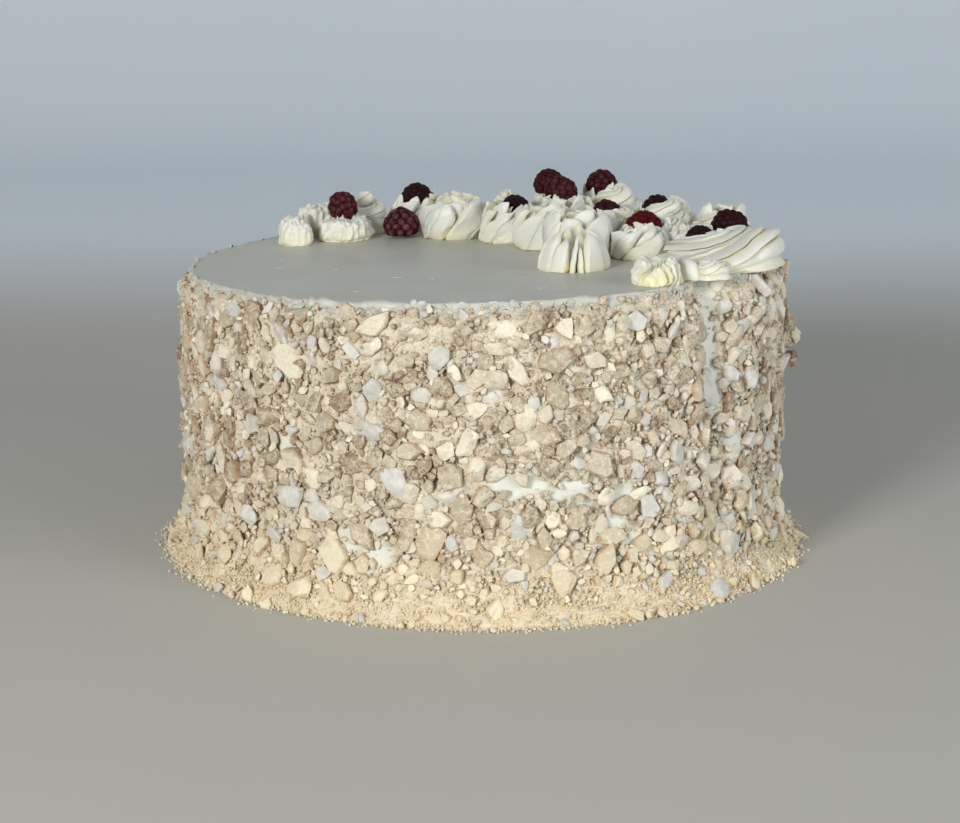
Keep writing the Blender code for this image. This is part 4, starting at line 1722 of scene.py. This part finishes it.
# The tulip's petals: the direction of each in degrees, and its shares of the usual width and height.
TULIP_PETALS = (
    (-152, 1.2, 1.0),
    (-120, 1.0, 0.84),
    (-93, 0.34, 0.98),
    (-77, 0.30, 0.72),
    (-50, 1.3, 1.0),
    (-14, 0.9, 0.88),
    (24, 1.1, 1.0),
    (62, 0.8, 1.15),
    (96, 0.9, 1.05),
    (130, 0.8, 1.2),
    (168, 1.0, 0.9),
)


@dataclass(frozen=True)
class Flutes:
    """How a swirl from a fine nozzle runs from its foot over its crown, in shares of radius or height.

    Attributes:
        reach: Its radius.
        rise: Its height.
        depth: How deep the valleys between its ridges are, as a share of the radius there.
        sway: How far its ridges sway sideways, in radians.
        waves: How many times they sway.
        ragged: How uneven its crown is, as a share of its size.
    """

    reach: tuple[float, ...]
    rise: tuple[float, ...]
    depth: tuple[float, ...]
    sway: float
    waves: float
    ragged: float


FLUTES = {
    Piping.BUTTON: Flutes((0.88, 1.00, 1.01, 0.92, 0.74, 0.46, 0.16),
                          (0.0, 0.12, 0.42, 0.72, 0.92, 1.02, 1.02),
                          (0.03, 0.05, 0.06, 0.06, 0.06, 0.05, 0.02), 0.05, 1.0, 0.14),
    Piping.FRILL: Flutes((0.96, 1.04, 1.00, 0.87, 0.72, 0.58, 0.38, 0.08),
                         (0.0, 0.09, 0.38, 0.67, 0.87, 0.94, 0.78, 0.58),
                         (0.10, 0.17, 0.22, 0.24, 0.26, 0.28, 0.22, 0.05), 0.14, 1.7, 0.14),
}


# The outline of one ribbon of a coil, cut across from edge to edge.
RIBBON_PLACES = (0.0, 0.10, 0.22, 0.40, 0.60, 0.80, 1.0)
RIBBON_HEIGHTS = (-0.35, 1.0, 0.97, 0.82, 0.62, 0.40, 0.08)


@dataclass(frozen=True)
class Nest:
    """Cream that closes round the foot of a berry: the berry, its swirl, petals and height."""

    berry: int
    swirl: int
    petals: int
    height: float


NESTS = (
    Nest(3, 18, 9, 14.0),
    Nest(4, 4, 8, 14.2),
    Nest(6, 22, 8, 14.5),
    Nest(7, 14, 8, 17.0),
    Nest(8, 23, 9, 11.5),
    Nest(9, 24, 9, 11.5),
    Nest(10, 13, 8, 15.0),
    Nest(11, 12, 8, 10.8),
    Nest(12, 9, 7, 7.4),
)


@dataclass
class Piper:
    """Pipes one swirl into a mesh, a little unevenly, as a hand does.

    A petal has its full width where a swirl has the usual number of them. A coil's rope is as thick as
    its share of the radius, and thinner towards the end by its taper.
    Its ripples are the lengths and sizes in mm of the small waves that the nozzle leaves, and calm is
    the share of them on the swirls that run smoothly. Its bulge is how far from the middle of the curl
    the cream bulges out beside it, as a share of its radius, and in which direction in degrees.
    """

    swirl: Swirl
    chance: np.random.Generator
    crowd: Crowd
    stations: int = 18
    flute_rows: int = 44
    ridge_steps: int = 10
    usual_ridges: float = 7.0
    rope_turns: float = 1.9
    rope_share: float = 0.43
    rope_taper: float = 0.40
    rope_rise: float = 1.1
    inner_ridges: int = 5
    inner_phase: float = 0.4
    ripples: tuple[tuple[float, float], ...] = ((12.0, 0.30), (6.5, 0.15), (3.6, 0.08))
    calm: float = 0.3
    bulge: tuple[float, float] = (1.25, 73.0)

    def blade(self, skew: float) -> tuple[Points, Points]:
        """Outline of a petal cut across: a flat blade with crisp edges, whose crest lies to one side.

        Args:
            skew: How far the crest lies to one side, -1 to 1.

        Returns:
            Places across and outwards of its corners, each -1 to 1.
        """
        left, right = 0.5 * (skew - 0.82), 0.5 * (skew + 0.86)
        across = [-1.0, -0.97, -0.82, left, skew, right, 0.86, 0.98, 1.0, 0.6, 0.0, -0.6]
        front = [-0.4, 0.48, 0.84, 0.94, 1.0, 0.94, 0.80, 0.42, -0.4, -0.9, -1.0, -0.9]
        return np.array(across), np.array(front)

    def petal(self, bearing: float, size: float, wide: float, lean: float) -> None:
        """Loft one petal.

        Args:
            bearing: The direction that it stands in.
            size: Its share of the whole height.
            wide: Its share of the usual width.
            lean: How far its tip bends aside, in radians.
        """
        swirl, petal = self.swirl, PETALS[self.swirl.piping]
        steps = np.linspace(0.0, 1.0, self.stations)
        lines = (petal.reach, petal.rise, petal.width, petal.depth)
        reach, rise, width, depth = (smooth_through(line, steps) for line in lines)
        reach, depth, rise = reach * swirl.radius, depth * swirl.radius, rise * swirl.height * size
        width = width * wide * swirl.radius * self.usual_ridges / swirl.ridges
        out_step, up_step = np.gradient(reach), np.gradient(rise)
        length = np.hypot(out_step, up_step)
        out_normal, up_normal = (up_step / length)[:, None], (-out_step / length)[:, None]
        turn = (bearing + math.radians(swirl.winding) * steps + lean * steps ** 2)[:, None]
        across, front = self.blade(petal.skew)
        out = reach[:, None] + out_normal * depth[:, None] * front
        up = rise[:, None] + up_normal * depth[:, None] * front
        side = width[:, None] * across
        east = out * np.cos(turn) - side * np.sin(turn)
        north = out * np.sin(turn) + side * np.cos(turn)
        points = np.stack([east, north, np.maximum(up, 0.0)], axis=-1).reshape(-1, 3)
        points, triangles = capped(points, len(across))
        fade = steps[:, None]
        # valley: where the cream's finish lays painted shade, on the petal's flanks and towards its foot.
        valley = np.clip(0.75 - 1.1 * front, 0.0, 1.0) * (1.0 - 0.5 * fade) + 0.3 * (1.0 - fade) ** 3
        self.crowd.add(points, triangles[:, ::-1], pad_tint(np.append(valley.ravel(), 0.0)))

    def ring(self, phase: float = 0.0) -> None:
        """Stand a ring of petals, one for each ridge of the swirl.

        Args:
            phase: How far it is turned, in petals.
        """
        count = self.swirl.ridges
        slim = PETALS[self.swirl.piping].slim
        for number in range(count):
            bearing = math.tau * (number + phase + self.chance.uniform(-0.16, 0.16)) / count
            size = self.chance.uniform(0.82, 1.05)
            width = self.chance.uniform(0.80, 1.25) * (slim if number % 2 else 1.0)
            self.petal(bearing, size, width, self.chance.normal(0.12, 0.25))

    def tulip(self) -> None:
        """Stand broad petals and thin ones, each in its own direction."""
        for bearing, width, size in TULIP_PETALS:
            self.petal(math.radians(bearing), size, width, self.chance.normal(0.0, 0.12))

    def star(self) -> None:
        """Pipe two rings of petals, one in the other."""
        self.ring()
        radius, height = 0.62 * self.swirl.radius, 1.04 * self.swirl.height
        inner = replace(self.swirl, radius=radius, height=height, ridges=self.inner_ridges)
        replace(self, swirl=inner).ring(self.inner_phase)

    def heart(self, width: float, height: float, aside: tuple[float, float] = (0.0, 0.0)) -> None:
        """Fill the middle of a swirl, or a place beside it, with a plain mound of cream.

        Args:
            width: The mound's radius, as a share of the swirl's.
            height: The mound's height, as a share of the swirl's.
            aside: How far aside it lies, as a share of the radius, and its direction in degrees.
        """
        radius = self.swirl.radius
        mound, faces = ball(2)
        mound = mound * np.array([width * radius, width * radius, height * self.swirl.height])
        mound[:, 2] = np.maximum(mound[:, 2], 0.0)
        mound += polar(aside[0] * radius, math.radians(aside[1]), 0.0)
        self.crowd.add(mound, faces, pad_tint(np.full(len(mound), 0.15)))

    def fluted(self) -> None:
        """Pipe a low dome of fine ridges."""
        swirl, flutes = self.swirl, FLUTES[self.swirl.piping]
        steps = np.linspace(0.0, 1.0, self.flute_rows)[:, None]
        lines = (flutes.reach, flutes.rise, flutes.depth)
        reach, rise, depth = (smooth_through(line, steps) for line in lines)
        columns = swirl.ridges * self.ridge_steps
        place = np.arange(columns) / self.ridge_steps
        from_valley = np.abs((place % 1.0) * 2.0 - 1.0)
        strength = self.chance.uniform(0.6, 1.3, swirl.ridges)[np.floor(place).astype(int)]
        valley = (1.0 - from_valley ** 1.5) * strength
        round_turn = math.tau * place / swirl.ridges
        swaying = np.sin(math.tau * flutes.waves * steps + 2.5 * np.sin(2.0 * round_turn + swirl.east))
        turn = round_turn + math.radians(swirl.winding) * steps + flutes.sway * swaying
        crumple = Relief(int(self.chance.integers(1000)), 2 * swirl.ridges, 9)
        uneven = crumple.at(*np.broadcast_arrays(place / swirl.ridges, steps)) - 0.5
        crown = np.clip((steps - 0.3) / 0.4, 0.0, 1.0)
        radius = 1.0 - depth * valley + flutes.ragged * uneven * (0.3 + 0.7 * crown)
        height = swirl.height * (rise + 1.6 * flutes.ragged * uneven * crown)
        height -= swirl.height * 0.5 * depth * valley * crown
        points = polar(swirl.radius * reach * radius, turn, np.maximum(height, 0.0)).reshape(-1, 3)
        # depths: how much painted shade the finish lays in the valleys between the ridges.
        depths = np.clip(1.1 * valley * (1.15 - steps) * np.clip(depth / 0.2, 0.0, 1.0), 0.0, 1.0)
        self.crowd.add(*capped(points, columns), pad_tint(np.append(depths.ravel(), 0.4)))

    def coil(self) -> None:
        """Pipe a coil: a rope of overlapping ribbons that rises and winds inwards round a mound."""
        swirl = self.swirl
        rope = self.rope_share * swirl.radius
        flat = min(1.0, 0.42 * swirl.height / rope)
        stations = int(80 + 3.0 * swirl.radius)
        columns = swirl.ridges * self.ridge_steps
        share = np.linspace(0.0, 1.0, stations)
        bearing = math.tau * self.rope_turns * share
        tail = np.clip(1.0 - share / 0.15, 0.0, 1.0)
        ring = (swirl.radius - rope) * (1.0 - share ** 2.0) + 0.7 * rope * tail
        rise = (swirl.height - 1.27 * rope * flat) * share ** self.rope_rise
        middle_up = 0.62 * rope * flat * (1.0 - 0.5 * tail) + rise
        swell = 1.0 + 0.05 * np.sin(bearing * 2.6 + self.chance.uniform(0.0, 6.0))
        thick = rope * (1.0 - self.rope_taper * share) * swell
        thick *= np.clip(share / 0.09, 0.20, 1.0) ** 0.6 * np.clip((1.0 - share) / 0.09, 0.05, 1.0) ** 0.7
        path = polar(ring, bearing, middle_up)
        along = unit(np.gradient(path, axis=0))
        side = unit(np.cross(along, [0.0, 0.0, 1.0]))
        over = np.cross(side, along) * flat
        around = np.arange(columns) / columns
        rib = np.interp((around * swirl.ridges) % 1.0, RIBBON_PLACES, RIBBON_HEIGHTS)
        wound = math.tau * around + math.radians(swirl.winding) * bearing[:, None]
        ripple = Relief(int(self.chance.integers(1000)), swirl.ridges, 14)
        uneven = ripple.at(*np.broadcast_arrays(around, share[:, None]))
        reach = thick[:, None] * (0.80 + 0.22 * rib * (0.7 + 0.5 * uneven))
        out = (reach * np.cos(wound))[..., None] * side[:, None]
        up = (reach * np.sin(wound))[..., None] * over[:, None]
        points = (path[:, None] + out + up).reshape(-1, 3)
        points[:, 2] = np.maximum(points[:, 2], 0.0)
        count = len(points)
        first = fan(np.arange(columns), count)[:, ::-1]
        last = fan(count - columns + np.arange(columns), count + 1)
        triangles = np.vstack([split_quads(grid_faces(stations, columns)), first, last])[:, ::-1]
        # valley: where the finish lays painted shade between the ribbons.
        valley = np.tile(np.clip(0.75 - 1.1 * rib, 0.0, 1.0), stations)
        tint = pad_tint(np.append(valley, [0.3, 0.3]))
        self.crowd.add(np.vstack([points, path[0], path[-1]]), triangles, tint)
        self.heart(0.95, 0.52)

    def bent(self) -> Points:
        """Bend what is piped a little out of its rule.

        Returns:
            The bent corners.
        """
        swirl, chance = self.swirl, self.chance
        points = np.concatenate(self.crowd.points)
        waves = chance.normal(size=(3, 3)) * 2.2 / swirl.radius
        phases = chance.uniform(0.0, math.tau, 3)
        bent = points + np.sin(points @ waves.T + phases) * 0.05 * swirl.radius
        share = self.calm if swirl.piping in (Piping.COIL, Piping.TULIP) else 1.0
        for length, size in self.ripples:
            waves = chance.normal(size=(3, 3)) * math.tau / length
            bent += np.sin(points @ waves.T + chance.uniform(0.0, math.tau, 3)) * size * share
        bent[:, 2] = np.where(points[:, 2] <= 0.0, points[:, 2], np.maximum(bent[:, 2], 0.0))
        return bent

    def pipe(self) -> Points:
        """Pipe the swirl.

        Returns:
            Its corners, in mm from the middle of its foot.
        """
        piping = self.swirl.piping
        if piping in FLUTES:
            self.fluted()
        elif piping in (Piping.COIL, Piping.CURL):
            self.coil()
        elif piping is Piping.TULIP:
            self.tulip()
        else:
            self.star()
        if piping in PETALS:
            self.heart(0.62, 0.66)
        if piping is Piping.CURL:
            self.heart(0.72, 0.95, self.bulge)
        return self.bent()


@dataclass
class PipedCream:
    """The crescent of piped cream, one piece for each swirl and each nest.

    Each swirl is turned by its wind in degrees from the one before. A nest is wider than its berry.
    """

    shape: CakeShape
    crisp: float = math.radians(34.0)
    lift: float = 0.05 * MM
    wind: float = 37.0
    seed: int = 400
    nest_seed: int = 700
    nest_share: float = 1.12
    nest_winding: float = 25.0

    def settle(self, piper: Piper, points: Points, number: int, finish: Material) -> None:
        """Set a piped piece on the top in place of a solid.

        Args:
            piper: What piped it.
            points: Its corners, in mm.
            number: The number of the solid's swirl.
            finish: The material.
        """
        piper.crowd.points = [points * MM]
        thing = piper.crowd.object(finish, self.crisp)
        place = Matrix.Translation((piper.swirl.east * MM, piper.swirl.north * MM, self.lift))
        thing.matrix_world = self.shape.top_matrix() @ place
        dress(thing, "piped_cream", f"swirl_{number:02d}")

    def build(self, finish: Material) -> None:
        """Pipe every swirl in place of its solid.

        Args:
            finish: The material.
        """
        for number, swirl in enumerate(SWIRLS, start=1):
            crowd = Crowd(f"piped_swirl_{number:02d}")
            piper = Piper(swirl, np.random.default_rng(self.seed + number), crowd)
            turned = piper.pipe() @ turn_about(2, math.radians(self.wind * number + swirl.start)).T
            side = turned[:, 0] / swirl.radius
            turned[:, 2] *= 1.0 + swirl.tilt * (side - 0.32 + 3.0 * np.maximum(side, 0.0) ** 2)
            self.settle(piper, turned, number, finish)

    def build_nests(self, finish: Material) -> None:
        """Close the cream of the swirls round the feet of the berries.

        Args:
            finish: The material.
        """
        for nest in NESTS:
            berry = BERRIES[nest.berry - 1]
            swirl = Swirl(berry.east, berry.north, self.nest_share * berry.radius, nest.height,
                          nest.petals, self.nest_winding, Piping.NEST)
            crowd = Crowd(f"cream_nest_{nest.berry:02d}")
            piper = Piper(swirl, np.random.default_rng(self.nest_seed + nest.berry), crowd)
            piper.ring()
            self.settle(piper, piper.bent(), nest.swirl, finish)


def pad_tint(first: Points) -> Points:
    """Three stored numbers for each corner, of which only the first is used."""
    return np.column_stack([first, np.zeros((len(first), 2))])


def smooth_through(line: tuple[float, ...], at: Points) -> Points:
    """Run a smooth line through values that stand evenly from 0 to 1.

    Args:
        line: The values.
        at: Where the line is read.

    Returns:
        The line's values.
    """
    values = np.array(line)
    knots = np.linspace(0.0, 1.0, len(values))
    slopes = np.gradient(values, knots)
    index = np.clip(np.searchsorted(knots, at, side="right") - 1, 0, len(knots) - 2)
    span = knots[index + 1] - knots[index]
    share = (at - knots[index]) / span
    square = share * share
    cube = square * share
    start = (2 * cube - 3 * square + 1) * values[index] + (cube - 2 * square + share) * span * slopes[index]
    return start + (-2 * cube + 3 * square) * values[index + 1] + (cube - square) * span * slopes[index + 1]


@dataclass(frozen=True)
class Berry:
    """One raspberry: the middle of it over the top in mm, its radius, its lean, its red and its frost."""

    east: float
    north: float
    up: float
    radius: float
    lean: float
    bright: float = 0.2
    frost: float = 0.35


BERRIES = (
    Berry(-58.2, 62.0, 13.4, 6.4, 75.0, 0.6, 0.55),
    Berry(-34.0, 61.5, 5.3, 7.4, 0.0, 0.5, 1.0),
    Berry(-28.0, 90.0, 13.0, 6.6, -20.0, 0.1, 0.0),
    Berry(13.5, 46.0, 12.7, 5.9, 15.0, 0.0, 0.0),
    Berry(28.4, 82.0, 18.4, 6.4, 25.0, 0.4, 0.2),
    Berry(33.0, 66.5, 16.4, 6.9, -10.0, 0.4, 0.4),
    Berry(51.0, 84.5, 17.0, 6.7, 20.0, 0.3, 0.3),
    Berry(51.0, 41.0, 9.6, 6.5, -15.0, 0.2, 0.15),
    Berry(63.5, 1.0, 8.8, 7.6, 15.0, 1.0, 0.0),
    Berry(71.2, 38.0, 12.2, 5.8, -25.0, 0.1, 0.0),
    Berry(96.2, -8.5, 10.1, 7.2, 10.0, 0.1, 0.0),
    Berry(84.0, -16.2, 7.0, 5.4, -12.0, 0.05, 0.0),
)


@dataclass
class RaspberryPunnet:
    """The raspberries, each a crowd of drupelets round a core.

    Its sizes are shares of a berry's radius, and its open end is how far down from the tip the rings
    of drupelets run, in degrees. Its taper is how much the tip is stretched along each axis. Each berry
    is turned by its wind in degrees from the one before.
    """

    shape: CakeShape
    rings: int = 6
    open_end: float = 128.0
    bead: float = 0.31
    core: float = 0.93
    core_foot: float = 0.56
    half_width: float = 0.74
    half_height: float = 0.70
    spacing: float = 1.45
    hidden: float = -0.15
    taper: Triple = (-0.16, -0.16, 0.02)
    wind: float = 53.0
    seed: int = 900

    def pointed(self, points: Points) -> Points:
        """Draw the tip of a berry out a little.

        Args:
            points: Corners round the berry's middle.

        Returns:
            The drawn corners.
        """
        length = np.linalg.norm(points, axis=-1, keepdims=True)
        tip = np.clip(points[..., 2:] / np.maximum(length, 1e-9), 0.0, 1.0) ** 2
        return points * (1.0 + tip * np.array(self.taper))

    def drupelets(self, radius: float, chance: np.random.Generator) -> list[tuple[Points, float]]:
        """Place the drupelets, ring by ring from the tip down.

        Args:
            radius: The berry's radius.
            chance: The draws of its unevenness.

        Returns:
            The middle and radius of each.
        """
        beads = []
        for ring in range(self.rings):
            tilt = math.radians(self.open_end) * (ring + 0.3) / self.rings
            across = self.half_width * radius * math.sin(tilt)
            count = max(1, round(math.tau * across / (self.spacing * self.bead * radius)))
            for number in range(count):
                turn = math.tau * (number + 0.5 * (ring % 2)) / count + chance.uniform(-0.12, 0.12)
                up = self.half_height * radius * math.cos(tilt) * chance.uniform(0.97, 1.03)
                middle = self.pointed(polar(across, turn, up))
                beads.append((middle, self.bead * radius * chance.uniform(0.9, 1.08)))
        return beads

    def build(self, finish: Material) -> None:
        """Lay every raspberry in place of its solid.

        Args:
            finish: The material.
        """
        bead_points, bead_faces = ball(2)
        top = self.shape.top_matrix()
        for number, berry in enumerate(BERRIES, start=1):
            crowd = Crowd(f"berry_{number:02d}")
            radius = berry.radius * MM
            own = [berry.bright, berry.frost]
            core = bead_points * self.core * radius
            core[:, 2] = np.maximum(core[:, 2], -self.core_foot * radius)
            crowd.add(self.pointed(core), bead_faces, np.tile([0.3, *own], (len(core), 1)))
            for middle, bead in self.drupelets(radius, np.random.default_rng(self.seed + number)):
                crown = bead_points @ unit(middle)
                tint = np.column_stack([np.clip(crown, 0.0, 1.0), np.tile(own, (len(crown), 1))])
                shown = bead_faces[crown[bead_faces].max(axis=1) > self.hidden]
                crowd.add(bead_points * bead + middle, shown, tint)
            thing = crowd.object(finish, None)
            place = Matrix.Translation((berry.east * MM, berry.north * MM, berry.up * MM))
            spin = Matrix.Rotation(math.radians(self.wind * number), 4, "Z")
            thing.matrix_world = top @ place @ spin @ Matrix.Rotation(math.radians(berry.lean), 4, "X")
            dress(thing, "raspberry", f"raspberry_{number:02d}")


@dataclass(frozen=True)
class Studio:
    """The camera, the lights, the floor and the backdrop.

    Its frame width and focal length are in pixels, its sensor in mm, its angles in degrees and the
    rest in metres.
    """

    distance: float = 0.965
    eye_height: float = 0.2786
    pitch: float = 13.31
    pan: float = 0.07
    frame_width: float = 960.0
    focal_pixels: float = 2482.0
    sensor: float = 36.0
    target: Triple = (0.0, 0.0, 0.06)
    floor_reach: float = 3.0
    backdrop: float = 1.6
    backdrop_height: float = 2.5
    curve: float = 0.5
    curve_steps: int = 12

    def camera(self) -> None:
        """Stand the camera where the photograph was taken from."""
        data = bpy.data.cameras.new("camera")
        camera = bpy.data.objects.new("camera", data)
        bpy.context.scene.collection.objects.link(camera)
        data.sensor_width = self.sensor
        data.lens = self.focal_pixels / self.frame_width * self.sensor
        camera.location = (0.0, -self.distance, self.eye_height)
        camera.rotation_euler = (math.radians(90.0 - self.pitch), 0.0, math.radians(self.pan))
        bpy.context.scene.camera = camera

    def lamp(self, name: str, place: Triple, size: float, power: float, color: Color) -> None:
        """Hang a soft square light that points at the cake.

        Args:
            name: Its name.
            place: Where it hangs.
            size: The length of its sides.
            power: Its power in watts.
            color: Its colour.
        """
        data = bpy.data.lights.new(name, "AREA")
        data.size = size
        data.energy = power
        data.color = color
        lamp = bpy.data.objects.new(name, data)
        bpy.context.scene.collection.objects.link(lamp)
        lamp.location = place
        lamp.rotation_euler = (Vector(self.target) - Vector(place)).to_track_quat("-Z", "Y").to_euler()

    def lights(self) -> None:
        """Light the cake softly from low in front, as from a window."""
        self.lamp("window", (-0.80, -1.5, 0.58), 0.40, 20.2, (1.0, 0.985, 0.962))
        self.lamp("fill", (1.3, -1.1, 0.45), 1.0, 14.3, (0.94, 0.97, 1.0))
        world = bpy.data.worlds.new("room")
        world.use_nodes = True
        sky = world.node_tree.nodes["Background"]
        sky.inputs["Color"].default_value = (0.84, 0.86, 0.88, 1.0)
        sky.inputs["Strength"].default_value = 0.29
        bpy.context.scene.world = world
        bpy.context.scene.view_settings.view_transform = "Standard"

    def floor(self) -> None:
        """Lay a pale floor that curves up into a backdrop."""
        finish = Finish("studio_paper", 0.8)
        cloud = finish.noise(2.0, 4.0)
        low = finish.mix(cloud, srgb(190, 188, 180), srgb(198, 196, 188))
        high = finish.mix(cloud, srgb(232, 243, 252), srgb(243, 250, 255))
        finish.paint(finish.mix(finish.along("Y").step(0.35, 0.8), low, high))
        start = self.backdrop - self.curve
        profile = [(-self.floor_reach, 0.0), (start, 0.0)]
        for step in range(1, self.curve_steps + 1):
            bend = 0.5 * math.pi * step / self.curve_steps
            profile.append((start + self.curve * math.sin(bend), self.curve - self.curve * math.cos(bend)))
        profile.append((self.backdrop, self.backdrop_height))
        sides = (-self.floor_reach, self.floor_reach)
        points = np.array([[side, north, up] for side in sides for north, up in profile])
        count = len(profile)
        faces = [[step, count + step, count + step + 1, step + 1] for step in range(count - 1)]
        show(mesh_from("studio_floor", points, faces), finish.material, None)


def build_cake(shape: CakeShape) -> None:
    """Build the skin of the cake and its crumbs.

    Args:
        shape: The form of its body.
    """
    coating = Coating(shape)
    meringue = MeringueFinish().make()
    spread_cream = SpreadCreamFinish().make()
    skin = CakeSkin(shape, coating)
    dress(skin.build_wall(PowderFinish().make()), "meringue_coat", "cake")
    for build in (skin.build_top, skin.build_nicks, TornRim(shape).build):
        dress(build(spread_cream), "piped_cream", "cake")
    for thing in CrumbCoat(shape, coating).build(meringue):
        dress(thing, "meringue_coat", "cake")


def main() -> None:
    """Build the whole scene."""
    logging.basicConfig(level=logging.INFO, format="%(message)s")
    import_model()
    studio = Studio()
    studio.camera()
    studio.lights()
    studio.floor()
    shape = CakeShape()
    build_cake(shape)
    cream = CreamFinish().make()
    piping = PipedCream(shape)
    piping.build(cream)
    piping.build_nests(cream)
    RaspberryPunnet(shape).build(BerryFinish().make())


if __name__ == "__main__":
    main()
